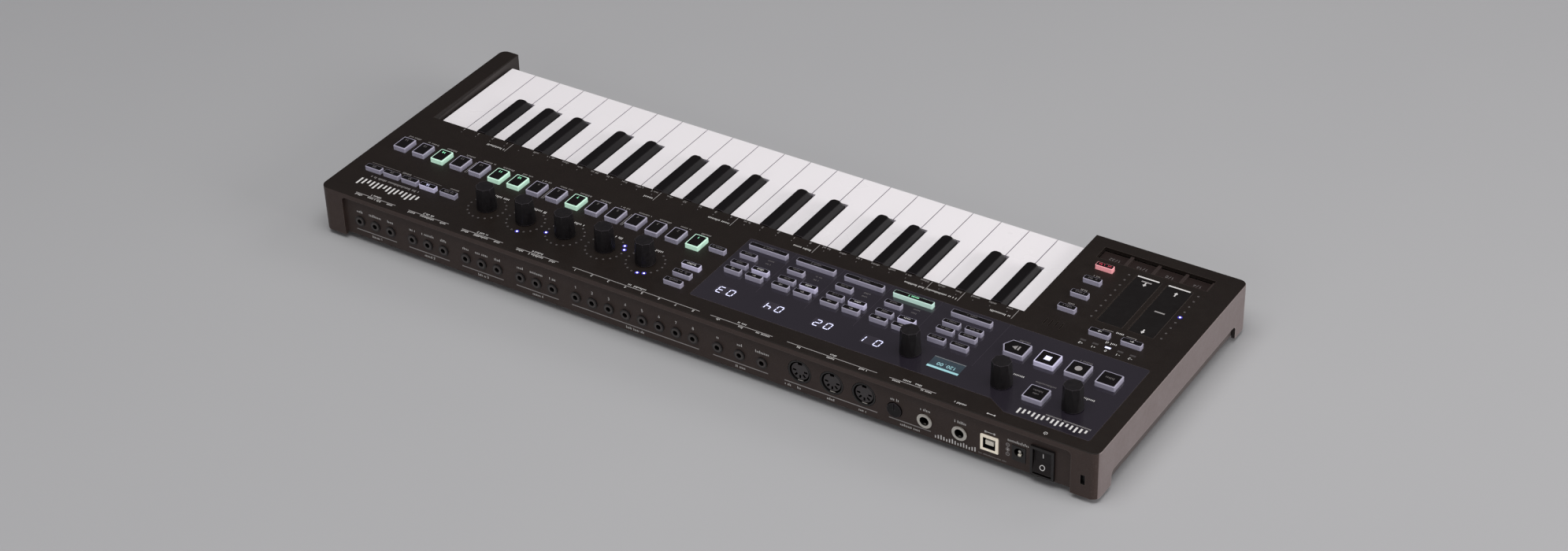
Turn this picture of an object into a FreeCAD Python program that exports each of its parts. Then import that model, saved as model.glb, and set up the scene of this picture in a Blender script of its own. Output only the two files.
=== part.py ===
import FreeCAD, Part
import math
import operator
import os

import Sketcher
from FreeCAD import Placement, Rotation, Vector

# A 37-key keyboard synthesizer controller.
# Frame: +X to the player's right, +Y to the rear panel, +Z up; the origin is on the table under the
# middle of the case. Millimetres.

DRIVING_DIMENSIONS = (
    ("overall_length", 589.0, "left side to right side"),
    ("overall_depth", 207.0, "front of the cheeks to the rear lip"),
    ("foot_height", 3.5, "lower edge of the metal corners above the table"),
    ("body_height", 34.3, "metal corners' lower edge to the top panel"),
    ("panel_thickness", 2.5, "top panel"),
    ("wall_thickness", 2.5, "side walls of the top cover"),
    ("corner_radius", 5.5, "outer upright corners"),
    ("edge_round", 0.6, "outer top edge"),
    ("bay_width", 108.0, "control bay left of the keys"),
    ("cheek_width", 13.5, "cheek right of the keys"),
    ("panel_front", -4.5, "front edge of the panel behind the keys"),
    ("lip_height", 3.8, "height of the rear lip and of the panel's front edge"),
    ("front_corner_length", 16.5, "front corner that reaches down to the table side"),
    ("rear_corner_length", 18.5, "rear corner that reaches down to the table side"),
    ("side_raise", 10.4, "side's lower edge above the corners' lower edge"),
    ("side_notch_radius", 4.0, "rounding where the side's lower edge rises"),
    ("rear_recess", 2.6, "rear panel behind the rear lip"),
    ("rear_corner_width", 18.0, "rear corners left and right of the rear panel"),
    ("rear_opening_radius", 3.0, "upper corners of the rear opening"),
    ("window_thickness", 1.5, "smoked control window"),
    ("window_ledge", 3.0, "ledge that carries the window"),
    ("window_gap", 0.15, "window to its recess"),
    ("window_radius", 1.5, "corners of the window"),
    ("tray_rise", 1.5, "bottom tray above the corners' lower edge"),
    ("tray_floor", 1.2, "sheet of the tray's floor"),
    ("tray_wall", 1.5, "sheet of the tray's walls"),
    ("tray_gap", 0.3, "tray to the cover's side walls"),
    ("button_gap", 0.35, "button to the edge of its hole"),
    ("button_rise", 3.0, "button above the panel"),
    ("button_bevel", 0.3, "bevel round a button's face"),
    ("button_corner", 0.9, "rounded upright corners of the buttons"),
    ("flange_margin", 0.8, "button's retaining flange beyond its sides"),
    ("flange_thickness", 1.6, "button's retaining flange"),
    ("flange_gap", 0.5, "flange to the underside of the panel"),
    ("step_pitch", 16.08, "step button to step button"),
    ("step_count", 16.0, "step buttons"),
    ("encoder_pitch", 32.0, "step encoder to step encoder"),
    ("encoder_count", 5.0, "step encoders"),
    ("track_pitch", 36.2, "track group to track group"),
    ("track_count", 4.0, "track groups"),
    ("knob_base", 13.8, "knob diameter at its foot"),
    ("knob_top", 11.5, "knob across its flats at the top"),
    ("knob_height", 16.6, "knob, foot to top"),
    ("knob_gap", 0.6, "knob's foot above the panel"),
    ("shaft_radius", 3.0, "encoder shaft"),
    ("running_gap", 0.05, "shaft in its bushing"),
    ("shaft_hole_radius", 4.5, "panel hole round an encoder's bushing"),
    ("board_level", 26.5, "underside of the control board"),
    ("board_thickness", 1.6, "every circuit board"),
    ("white_pitch", 21.1, "white key to white key"),
    ("first_key_left", -184.7, "left edge of the first white key's place"),
    ("key_gap", 0.6, "gap between neighbouring keys"),
    ("white_front", -94.0, "front of the white keys"),
    ("white_drop", 6.1, "white keys' tops below the panel"),
    ("white_skirt", 14.2, "height of a white key's front"),
    ("key_depth", 10.7, "height of the keys' rear parts"),
    ("white_shelf", -60.6, "where the white keys narrow between the black ones"),
    ("black_foot_width", 9.6, "black key at the level of the white ones"),
    ("black_top_width", 7.4, "black key at its top"),
    ("black_slot", 10.6, "space between the white keys' rear parts"),
    ("black_front", -59.8, "front of a black key's foot"),
    ("black_top_front", -54.5, "front of a black key's top"),
    ("black_rear", -5.3, "rear of the black keys' raised part"),
    ("key_rear", 8.0, "rear end of every key"),
    ("key_shell", 1.7, "wall of the moulded keys"),
    ("pivot_y", 3.5, "key pivot rod"),
    ("pivot_z", 24.0, "key pivot rod above the table"),
    ("rod_radius", 1.5, "key pivot rod"),
    ("socket_level", 17.2, "minijack sockets above the table"),
    ("screw_radius", 1.5, "case screws"),
)

DRUM_GATES = 8
VOICE_GROUPS = 4
VOICE_SOCKETS = 3


class Size:
    """A length known as a number and as the spreadsheet expression that drives it."""

    def __init__(self, value, text):
        self.value = float(value)
        self.text = text

    def __add__(self, other):
        return combine(operator.add, self, "+", other)

    def __radd__(self, other):
        return combine(operator.add, other, "+", self)

    def __sub__(self, other):
        return combine(operator.sub, self, "-", other)

    def __rsub__(self, other):
        return combine(operator.sub, other, "-", self)

    def __mul__(self, other):
        return combine(operator.mul, self, "*", other)

    def __rmul__(self, other):
        return combine(operator.mul, other, "*", self)

    def __truediv__(self, other):
        return combine(operator.truediv, self, "/", other)

    def __neg__(self):
        return combine(operator.sub, 0, "-", self)


def size(value):
    """The value as a Size, whether it is one already or a plain number."""
    return value if isinstance(value, Size) else Size(value, f"{float(value):.6f}")


def combine(work, first, sign, second):
    first = size(first)
    second = size(second)
    return Size(work(first.value, second.value), f"({first.text} {sign} {second.text})")


def bind(item, prop, value):
    item.setExpression(prop, size(value).text)


def fill_sheet(document):
    """Write the driving dimensions and return them by name."""
    sheet = document.addObject("Spreadsheet::Sheet", "Sizes")
    named = {}
    for row, (alias, value, note) in enumerate(DRIVING_DIMENSIONS, start=1):
        sheet.set(f"A{row}", alias)
        sheet.set(f"B{row}", str(value))
        sheet.set(f"C{row}", note)
        sheet.setAlias(f"B{row}", alias)
        named[alias] = Size(value, f"Sizes.{alias}")
    document.recompute()
    return named


doc = FreeCAD.newDocument("Synthesizer")
dim = fill_sheet(doc)
nodes = []

# Planes and edges that several pieces share.
right = dim["overall_length"] / 2
left = -right
rear = dim["overall_depth"] / 2
front = -rear
corner_low = dim["foot_height"]
cover_top = dim["foot_height"] + dim["body_height"]
panel_under = cover_top - dim["panel_thickness"]
bay_right = left + dim["bay_width"]
cheek_left = right - dim["cheek_width"]
rear_face = rear - dim["rear_recess"]
inner_rear_face = rear_face - dim["tray_wall"]
tray_low = corner_low + dim["tray_rise"]
floor_top = tray_low + dim["tray_floor"]
board_top = dim["board_level"] + dim["board_thickness"]
button_top = cover_top + dim["button_rise"]
flange_top = panel_under - dim["flange_gap"]
white_top = cover_top - dim["white_drop"]
skirt_low = white_top - dim["white_skirt"]
keys_low = white_top - dim["key_depth"]

# Places of the controls on the top panel.
WINDOW_LEFT = -283.2
WINDOW_RIGHT = 6.5
WINDOW_FRONT = 12.5
WINDOW_REAR = 85.5
WINDOW_STEP_REAR = 93.5
WINDOW_STEP_RIGHT = -225.5
WINDOW_STEP_FOOT = -212.5

STEP_FIRST_X = 33.4
STEP_Y = 36.0
ENCODER_FIRST_X = 51.0
ENCODER_Y = 69.5
TRACK_FIRST_X = -129.4
COLUMN_SHIFT = 16.15
TRACK_ARROW_Y = 51.1
TRACK_MODE_Y = 43.4
TRACK_MUTE_Y = 32.4
TRACK_SELECT_Y = 20.9
CONTROL_FIRST_X = -171.4
CONTROL_ROWS = (51.1, 40.3, 32.4)
TRANSPORT_Y = 36.1
TRANSPORT_X = (-267.0, -246.0, -225.0)
PLAY_X = -204.0
TAP_CENTRE = (-235.5, 70.6)
OVERVIEW_CENTRE = (16.9, 36.2)
MENU_CENTRES = ((21.2, 81.3), (21.2, 70.8), (21.2, 60.3))
BAR_CENTRES = ((210.0, 70.7), (227.3, 70.7), (242.7, 70.7), (258.2, 70.7), (273.5, 70.7))
OCTAVE_CENTRES = ((-261.6, -4.8), (-239.4, -4.8))
BAY_COLUMN_CENTRES = ((-209.3, -18.7), (-209.3, -36.0), (-209.3, -53.4), (-209.3, -70.5))

STEP_SIZE = (10.2, 13.4)
TRANSPORT_SIZE = (13.8, 13.6)
SMALL_SIZE = (12.2, 4.3)
WIDE_SIZE = (28.7, 4.3)
MENU_SIZE = (13.6, 4.5)
BAR_SIZE = (13.0, 4.6)
OCTAVE_SIZE = (14.2, 4.6)
COLUMN_SIZE = (12.3, 4.5)
PLAY_SHOULDER = 6.5
PLAY_TIP = 10.2

KNOB_CENTRES = {
    "tempo_knob": (-259.5, 69.3),
    "swing_knob": (-211.0, 69.5),
    "display_encoder_knob": (-146.7, 69.0),
}
WINDOW_KNOBS = tuple(KNOB_CENTRES.values())

TOUCH_STRIPS = ((-269.7, -251.5), (-248.0, -229.7))
TOUCH_FRONT = -75.0
TOUCH_REAR = -18.0
LOOPER_BOX = (-276.5, -93.5, -198.0, -80.5)
LOOPER_RIBS = (-257.0, -237.5, -218.0)
VENT_X = (-214.9, -211.1, -207.4, -203.6)
VENT_FRONT = -5.0
VENT_REAR = 2.0
VENT_WIDTH = 0.7
DISPLAY_Y = 70.5
DISPLAY_FIRST_X = -120.0
DISPLAY_SIZE = (15.0, 9.0)
SCREEN_BOX = (-184.0, 64.0, -162.0, 76.2)

# Places of the sockets along the rear panel.
VOICE_FIRST_X = 264.1
VOICE_GROUP_PITCH = 44.7
SOCKET_PITCH = 13.05
GATE_FIRST_X = 85.3
CLOCK_X = (-24.7, -41.2, -58.0)
MIDI_X = (-85.5, -108.9, -132.1)
MIDI_LEVEL = 20.1
LEVEL_X = -154.1
LEVEL_Z = 16.9
PHONE_X = (-175.7, -200.1)
PHONE_LEVEL = 17.0
USB_X = -220.4
POWER_INLET_X = -240.5
ROCKER_X = -256.9
POWER_LEVEL = 16.5
LOCK_SLOT_X = -284.7
LOCK_SLOT_Z = 16.2

SCREW_PLACES = (
    (-286.8, 96.0), (286.8, 96.0), (-15.4, 94.0), (-286.8, 0.0),
    (286.8, 0.0), (-286.8, -95.8), (286.8, -95.8), (-195.0, -95.8),
)
BOSS_RADIUS = 3.2
FOOT_PLACES = ((-262.0, 78.0), (0.0, 78.0), (262.0, 78.0), (-262.0, -78.0), (0.0, -78.0), (262.0, -78.0))


def minijack_centres():
    """Middles of the 23 minijack sockets along X."""
    voices = [VOICE_FIRST_X - VOICE_GROUP_PITCH * group - SOCKET_PITCH * place
              for group in range(VOICE_GROUPS) for place in range(VOICE_SOCKETS)]
    gates = [GATE_FIRST_X - SOCKET_PITCH * place for place in range(DRUM_GATES)]
    return voices + gates + list(CLOCK_X)


def encoder_centres():
    """Middle of every encoder on the panel, by the name of its knob."""
    places = dict(KNOB_CENTRES)
    for place in range(int(dim["encoder_count"].value)):
        x = dim["encoder_pitch"] * place + ENCODER_FIRST_X
        places[f"step_encoder_knob_{place + 1}"] = (x, ENCODER_Y)
    return places


# Helpers: Part primitives and booleans.

def keep(item, name):
    """Mark the object as one of the product's named pieces."""
    item.Label = name
    nodes.append(item)
    return item


def box(name, low, high):
    item = doc.addObject("Part::Box", name)
    for prop, start, end in zip(("Length", "Width", "Height"), low, high):
        bind(item, prop, size(end) - start)
    for letter, start in zip("xyz", low):
        bind(item, f"Placement.Base.{letter}", start)
    return item


TURNS = {
    "x": Rotation(Vector(0, 1, 0), 90),
    "y": Rotation(Vector(1, 0, 0), -90),
    "z": Rotation(),
}


def cylinder(name, start, radius, length, along="z"):
    item = doc.addObject("Part::Cylinder", name)
    item.Placement = Placement(Vector(), TURNS[along])
    bind(item, "Radius", radius)
    bind(item, "Height", length)
    for letter, value in zip("xyz", start):
        bind(item, f"Placement.Base.{letter}", value)
    return item


def fuse(name, items):
    item = doc.addObject("Part::MultiFuse", name)
    item.Shapes = items
    item.Refine = True
    return item


def cluster(name, items):
    item = doc.addObject("Part::Compound", name)
    item.Links = items
    return item


def cut(name, base, tools):
    """The base less one or more tools that don't overlap each other."""
    item = doc.addObject("Part::Cut", name)
    item.Base = base
    item.Tool = tools[0] if len(tools) == 1 else cluster(f"{name}_tools", tools)
    item.Refine = True
    return item


def edge_numbers(item, wanted):
    """Numbers of the edges of an object that pass the test."""
    return [number for number, edge in enumerate(item.Shape.Edges, start=1) if wanted(edge)]


def rounded(name, base, radii):
    """The base with its edges rounded: radii pairs a test for an edge with a radius."""
    doc.recompute()
    item = doc.addObject("Part::Fillet", name)
    item.Base = base
    item.Edges = [(number, radius, radius)
                  for wanted, radius in radii for number in edge_numbers(base, wanted)]
    return item


def is_upright(edge):
    low = edge.BoundBox
    return low.XLength < 0.01 and low.YLength < 0.01


# Helpers: PartDesign bodies.

def new_body(name):
    return doc.addObject("PartDesign::Body", name)


def origin_feature(body, role):
    return [feature for feature in body.Origin.OriginFeatures if feature.Role == role][0]


def sketch_on(body, name, role, offset=0.0):
    sketch = body.newObject("Sketcher::SketchObject", name)
    sketch.AttachmentSupport = [(origin_feature(body, role), "")]
    sketch.MapMode = "FlatFace"
    bind(sketch, "AttachmentOffset.Base.z", offset)
    return sketch


def hold_point(sketch, geometry, vertex, point):
    """Hold a sketch point at its distances from the sketch's origin."""
    for kind, value in zip(("DistanceX", "DistanceY"), point):
        value = size(value)
        number = sketch.addConstraint(Sketcher.Constraint(kind, -1, 1, geometry, vertex, value.value))
        sketch.setExpression(f"Constraints[{number}]", value.text)


def draw_polygon(sketch, points):
    points = [(size(x), size(y)) for x, y in points]
    corners = [Vector(x.value, y.value, 0) for x, y in points]
    count = len(corners)
    lines = [Part.LineSegment(corners[i], corners[(i + 1) % count]) for i in range(count)]
    first = sketch.addGeometry(lines, False)[0]
    for place in range(count):
        following = first + (place + 1) % count
        sketch.addConstraint(Sketcher.Constraint("Coincident", first + place, 2, following, 1))
    for place, point in enumerate(points):
        hold_point(sketch, first + place, 1, point)


def rectangle(low_x, low_y, high_x, high_y):
    return [(low_x, low_y), (high_x, low_y), (high_x, high_y), (low_x, high_y)]


def centred(centre, span, margin=0.0):
    """Rectangle round a centre, enlarged by a margin on every side."""
    half_x = size(span[0]) / 2 + margin
    half_y = size(span[1]) / 2 + margin
    return rectangle(centre[0] - half_x, centre[1] - half_y, centre[0] + half_x, centre[1] + half_y)


def draw_circle(sketch, centre, radius):
    radius = size(radius)
    x, y = size(centre[0]), size(centre[1])
    circle = Part.Circle(Vector(x.value, y.value, 0), Vector(0, 0, 1), radius.value)
    number = sketch.addGeometry(circle, False)
    hold_point(sketch, number, 3, (x, y))
    held = sketch.addConstraint(Sketcher.Constraint("Radius", number, radius.value))
    sketch.setExpression(f"Constraints[{held}]", radius.text)


def feature_from(body, kind, name, sketch, length, reverse):
    feature = body.newObject(kind, name)
    feature.Profile = sketch
    bind(feature, "Length", length)
    feature.Reversed = reverse
    sketch.Visibility = False
    return feature


def pad(body, name, sketch, length, reverse=False):
    return feature_from(body, "PartDesign::Pad", name, sketch, length, reverse)


def pocket(body, name, sketch, length, reverse=False):
    """Cut a sketch out of the body, and stop if the cut misses it."""
    doc.recompute()
    before = body.Shape.Volume
    feature = feature_from(body, "PartDesign::Pocket", name, sketch, length, reverse)
    doc.recompute()
    if body.Shape.Volume > before - 0.01:
        raise RuntimeError(f"{name} removes nothing")
    return feature


def repeat(body, name, feature, pitch, count):
    """Repeat a feature along X."""
    pattern = body.newObject("PartDesign::LinearPattern", name)
    pattern.Originals = [feature]
    pattern.Direction = (origin_feature(body, "X_Axis"), [""])
    bind(pattern, "Length", pitch * (count - 1))
    bind(pattern, "Occurrences", count)
    body.Tip = pattern
    return pattern


def round_edges(body, name, wanted, radius, kind="PartDesign::Fillet"):
    doc.recompute()
    base = body.Tip
    item = body.newObject(kind, name)
    item.Base = (base, [f"Edge{number}" for number in edge_numbers(base, wanted)])
    bind(item, "Radius" if kind.endswith("Fillet") else "Size", radius)
    doc.recompute()
    return item


# The case.

def window_outline(inset=0.0):
    """Outline of the control window, drawn in by an inset."""
    return [
        (size(WINDOW_LEFT) + inset, size(WINDOW_FRONT) + inset),
        (size(WINDOW_RIGHT) - inset, size(WINDOW_FRONT) + inset),
        (size(WINDOW_RIGHT) - inset, size(WINDOW_REAR) - inset),
        (size(WINDOW_STEP_FOOT) - inset * 0.3, size(WINDOW_REAR) - inset),
        (size(WINDOW_STEP_RIGHT) - inset * 0.3, size(WINDOW_STEP_REAR) - inset),
        (size(WINDOW_LEFT) + inset, size(WINDOW_STEP_REAR) - inset),
    ]


def panel_button_holes(sketch):
    gap = dim["button_gap"]
    draw_polygon(sketch, centred(OVERVIEW_CENTRE, SMALL_SIZE, gap))
    for centres, span in ((MENU_CENTRES, MENU_SIZE), (BAR_CENTRES, BAR_SIZE),
                          (OCTAVE_CENTRES, OCTAVE_SIZE), (BAY_COLUMN_CENTRES, COLUMN_SIZE)):
        for centre in centres:
            draw_polygon(sketch, centred(centre, span, gap))


INNER_WALL_RAISE = 12.0
LOCK_SLOT_SIZE = (3.0, 7.0)


def make_top_cover():
    """Folded metal cover: panel, sides, control bay, right cheek and four corners."""
    body = new_body("top_cover_body")
    wall = dim["wall_thickness"]
    panel_front = dim["panel_front"]

    outline = sketch_on(body, "cover_outline", "XY_Plane", corner_low)
    draw_polygon(outline, [
        (left, front), (bay_right, front), (bay_right, panel_front), (cheek_left, panel_front),
        (cheek_left, front), (right, front), (right, rear), (left, rear),
    ])
    pad(body, "cover_block", outline, dim["body_height"])

    def is_outer_corner(edge):
        middle = edge.BoundBox.Center
        at_side = abs(abs(middle.x) - right.value) < 0.1
        return is_upright(edge) and at_side and abs(abs(middle.y) - rear.value) < 0.1
    round_edges(body, "cover_corners", is_outer_corner, dim["corner_radius"])

    def is_outer_top(edge):
        edge_box = edge.BoundBox
        return edge_box.ZLength < 0.01 and abs(edge_box.ZMax - cover_top.value) < 0.01
    round_edges(body, "cover_top_edge", is_outer_top, dim["edge_round"])

    inside = sketch_on(body, "cover_inside", "XY_Plane", corner_low)
    draw_polygon(inside, [
        (left + wall, front + wall), (bay_right - wall, front + wall),
        (bay_right - wall, panel_front + wall), (cheek_left + wall, panel_front + wall),
        (cheek_left + wall, front + wall), (right - wall, front + wall),
        (right - wall, rear - wall), (left + wall, rear - wall),
    ])
    pocket(body, "cover_hollow", inside, dim["body_height"] - dim["panel_thickness"], reverse=True)

    keyway = sketch_on(body, "key_opening_sketch", "XY_Plane", corner_low)
    behind_edge = panel_front + wall + 1
    draw_polygon(keyway, rectangle(bay_right, panel_front - 10, cheek_left, behind_edge))
    pocket(body, "key_opening", keyway, dim["body_height"] - dim["lip_height"], reverse=True)

    inner_feet = sketch_on(body, "inner_wall_foot_sketch", "XY_Plane", corner_low)
    for wall_low, wall_high in ((bay_right - wall, bay_right), (cheek_left, cheek_left + wall)):
        draw_polygon(inner_feet, rectangle(wall_low - 1, front + wall, wall_high + 1, behind_edge))
    pocket(body, "inner_wall_foot", inner_feet, INNER_WALL_RAISE, reverse=True)

    rear_opening = sketch_on(body, "rear_opening_sketch", "XZ_Plane", -(rear + 1))
    corner = dim["rear_corner_width"]
    draw_polygon(rear_opening, rectangle(left + corner, 0, right - corner, cover_top - dim["lip_height"]))
    pocket(body, "rear_opening", rear_opening, wall + 1.5, reverse=True)

    def is_rear_corner(edge):
        edge_box = edge.BoundBox
        lip_low = (cover_top - dim["lip_height"]).value
        along_y = edge_box.XLength < 0.01 and edge_box.ZLength < 0.01
        return along_y and abs(edge_box.ZMin - lip_low) < 0.01 and edge_box.YMax > rear.value - 0.01
    round_edges(body, "rear_opening_corners", is_rear_corner, dim["rear_opening_radius"])

    side = sketch_on(body, "side_opening_sketch", "YZ_Plane", left - 1)
    side_low = corner_low + dim["side_raise"]
    draw_polygon(side, rectangle(
        front + dim["front_corner_length"], 0, rear - dim["rear_corner_length"], side_low))
    pocket(body, "side_opening", side, dim["overall_length"] + 2, reverse=True)

    def is_side_notch(edge):
        edge_box = edge.BoundBox
        at_level = abs(edge_box.ZMin - side_low.value) < 0.01
        along_x = edge_box.YLength < 0.01 and edge_box.ZLength < 0.01
        return along_x and at_level and abs(edge_box.Center.x) > right.value - 4
    round_edges(body, "side_opening_corners", is_side_notch, dim["side_notch_radius"])

    recess = sketch_on(body, "window_recess_sketch", "XY_Plane", cover_top)
    draw_polygon(recess, window_outline())
    pocket(body, "window_recess", recess, dim["window_thickness"])
    opening = sketch_on(body, "window_opening_sketch", "XY_Plane", cover_top)
    draw_polygon(opening, window_outline(dim["window_ledge"]))
    pocket(body, "window_opening", opening, dim["panel_thickness"] + 1)

    step_hole = sketch_on(body, "step_hole_sketch", "XY_Plane", cover_top)
    draw_polygon(step_hole, centred((STEP_FIRST_X, STEP_Y), STEP_SIZE, dim["button_gap"]))
    first_step = pocket(body, "step_hole", step_hole, dim["panel_thickness"] + 1)
    repeat(body, "step_holes", first_step, dim["step_pitch"], dim["step_count"])

    encoder_hole = sketch_on(body, "encoder_hole_sketch", "XY_Plane", cover_top)
    draw_circle(encoder_hole, (ENCODER_FIRST_X, ENCODER_Y), dim["shaft_hole_radius"])
    first_encoder = pocket(body, "encoder_hole", encoder_hole, dim["panel_thickness"] + 1)
    repeat(body, "encoder_holes", first_encoder, dim["encoder_pitch"], dim["encoder_count"])

    holes = sketch_on(body, "panel_holes_sketch", "XY_Plane", cover_top)
    panel_button_holes(holes)
    for low_x, high_x in TOUCH_STRIPS:
        draw_polygon(holes, rectangle(low_x, TOUCH_FRONT, high_x, TOUCH_REAR))
    draw_polygon(holes, rectangle(*LOOPER_BOX))
    for low_x in VENT_X:
        draw_polygon(holes, rectangle(low_x, VENT_FRONT, low_x + VENT_WIDTH, VENT_REAR))
    pocket(body, "panel_holes", holes, dim["panel_thickness"] + 1)

    lock = sketch_on(body, "lock_slot_sketch", "XZ_Plane", -(rear + 1))
    draw_polygon(lock, centred((LOCK_SLOT_X, LOCK_SLOT_Z), LOCK_SLOT_SIZE))
    pocket(body, "lock_slot", lock, wall + 2, reverse=True)

    bosses = sketch_on(body, "boss_sketch", "XY_Plane", panel_under + 0.5)
    for place in SCREW_PLACES:
        draw_circle(bosses, place, BOSS_RADIUS)
    pad(body, "screw_bosses", bosses, panel_under + 0.5 - floor_top - 0.1, reverse=True)
    pilots = sketch_on(body, "pilot_sketch", "XY_Plane", floor_top)
    for place in SCREW_PLACES:
        draw_circle(pilots, place, dim["screw_radius"] + 0.03)
    pocket(body, "screw_pilots", pilots, 12, reverse=True)
    keep(body, "top_cover")


def track_button_places():
    """Centre and size of the six buttons of the first track group."""
    second = TRACK_FIRST_X + COLUMN_SHIFT
    return (
        ((TRACK_FIRST_X, TRACK_ARROW_Y), SMALL_SIZE), ((second, TRACK_ARROW_Y), SMALL_SIZE),
        ((TRACK_FIRST_X, TRACK_MODE_Y), SMALL_SIZE), ((second, TRACK_MODE_Y), SMALL_SIZE),
        ((second, TRACK_MUTE_Y), SMALL_SIZE),
        ((TRACK_FIRST_X + COLUMN_SHIFT / 2, TRACK_SELECT_Y), WIDE_SIZE),
    )


def control_button_places():
    """Centre and size of the seven buttons of the control group."""
    second = CONTROL_FIRST_X + COLUMN_SHIFT
    small = [((x, y), SMALL_SIZE) for y in CONTROL_ROWS for x in (CONTROL_FIRST_X, second)]
    return small + [((CONTROL_FIRST_X + COLUMN_SHIFT / 2, TRACK_SELECT_Y), WIDE_SIZE)]


def play_outline(margin=0.0):
    """The play button's arrow, round its own centre."""
    margin = size(margin)
    half_x = margin + TRANSPORT_SIZE[0] / 2
    half_y = margin + TRANSPORT_SIZE[1] / 2
    return [(-half_x, -half_y), (margin + PLAY_SHOULDER, -half_y), (margin + PLAY_TIP, 0.0),
            (margin + PLAY_SHOULDER, half_y), (-half_x, half_y)]


def shifted(points, centre):
    return [(size(x) + centre[0], size(y) + centre[1]) for x, y in points]


def make_control_window():
    """Smoked acrylic window over the track section, with a hole for each button and shaft."""
    body = new_body("control_window_body")
    gap = dim["button_gap"]
    outline = sketch_on(body, "window_outline_sketch", "XY_Plane", cover_top)
    draw_polygon(outline, window_outline(dim["window_gap"]))
    pad(body, "window_sheet", outline, dim["window_thickness"], reverse=True)
    round_edges(body, "window_corners", is_upright, dim["window_radius"])

    depth = dim["window_thickness"] + 1
    tracks = sketch_on(body, "track_hole_sketch", "XY_Plane", cover_top)
    for centre, span in track_button_places():
        draw_polygon(tracks, centred(centre, span, gap))
    first = pocket(body, "track_holes_first", tracks, depth)
    repeat(body, "track_holes", first, dim["track_pitch"], dim["track_count"])

    others = sketch_on(body, "window_hole_sketch", "XY_Plane", cover_top)
    for centre, span in control_button_places():
        draw_polygon(others, centred(centre, span, gap))
    for x in TRANSPORT_X:
        draw_polygon(others, centred((x, TRANSPORT_Y), TRANSPORT_SIZE, gap))
    draw_polygon(others, centred(TAP_CENTRE, TRANSPORT_SIZE, gap))
    draw_polygon(others, shifted(play_outline(gap), (PLAY_X, TRANSPORT_Y)))
    for centre in WINDOW_KNOBS:
        draw_circle(others, centre, dim["shaft_hole_radius"])
    pocket(body, "window_holes", others, depth)
    keep(body, "control_window")


# Radii of the rear panel's round openings, and width and height of its square ones.
MINIJACK_OPENING = 3.2
MIDI_OPENING = 8.6
PHONE_OPENING = 5.0
LEVEL_OPENING = 5.5
USB_OPENING = (12.7, 12.0)
INLET_OPENING = (9.7, 11.4)
ROCKER_OPENING = (14.6, 20.6)
TRAY_SCREW_OPENING = 1.8


def rear_panel_holes():
    """Openings of the rear panel, one tool for each socket, knob and switch."""
    start_y = inner_rear_face - 1
    depth = dim["tray_wall"] + 2
    level = dim["socket_level"]
    tools = [cylinder(f"minijack_hole_{number}", (x, start_y, level), MINIJACK_OPENING, depth, "y")
             for number, x in enumerate(minijack_centres(), start=1)]
    for number, x in enumerate(MIDI_X, start=1):
        tools.append(cylinder(f"midi_hole_{number}", (x, start_y, MIDI_LEVEL), MIDI_OPENING, depth, "y"))
    for number, x in enumerate(PHONE_X, start=1):
        tools.append(cylinder(f"phone_hole_{number}", (x, start_y, PHONE_LEVEL), PHONE_OPENING, depth, "y"))
    tools.append(cylinder("level_hole", (LEVEL_X, start_y, LEVEL_Z), LEVEL_OPENING, depth, "y"))
    for name, x, span in (("usb_hole", USB_X, USB_OPENING), ("inlet_hole", POWER_INLET_X, INLET_OPENING),
                          ("rocker_hole", ROCKER_X, ROCKER_OPENING)):
        low = (x - span[0] / 2, start_y, POWER_LEVEL - span[1] / 2)
        high = (x + span[0] / 2, start_y + depth, POWER_LEVEL + span[1] / 2)
        tools.append(box(name, low, high))
    return tools


TRAY_SIDE_LAP = 8.0
FRONT_RAIL_TOP = 15.0


def make_bottom_tray():
    """Folded bottom tray with the rear panel, low sides and the rail below the keys' fronts."""
    side = right - dim["wall_thickness"] - dim["tray_gap"]
    low_y = front + dim["wall_thickness"] + dim["tray_gap"]
    wall = dim["tray_wall"]
    side_top = corner_low + dim["side_raise"] + TRAY_SIDE_LAP
    sheets = [
        box("tray_floor_sheet", (-side, low_y, tray_low), (side, rear_face, floor_top)),
        box("tray_left_side", (-side, low_y, tray_low), (-side + wall, rear_face, side_top)),
        box("tray_right_side", (side - wall, low_y, tray_low), (side, rear_face, side_top)),
        box("tray_front_rail", (-side, low_y, tray_low), (side, low_y + wall, FRONT_RAIL_TOP)),
        box("tray_rear_panel", (-side, inner_rear_face, tray_low), (side, rear_face, panel_under - 0.1)),
    ]
    tools = rear_panel_holes()
    for number, (x, y) in enumerate(SCREW_PLACES, start=1):
        tools.append(cylinder(f"tray_screw_hole_{number}", (x, y, tray_low - 1), TRAY_SCREW_OPENING, 4))
    keep(cut("bottom_tray_shell", fuse("tray_sheets", sheets), tools), "bottom_tray")


FOOT_RADIUS = 7.0
SCREW_LENGTH = 9.0
SCREW_HEAD_RADIUS = 2.8
SCREW_HEAD_HEIGHT = 1.6
SCREW_DRIVE_RADIUS = 1.0


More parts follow.
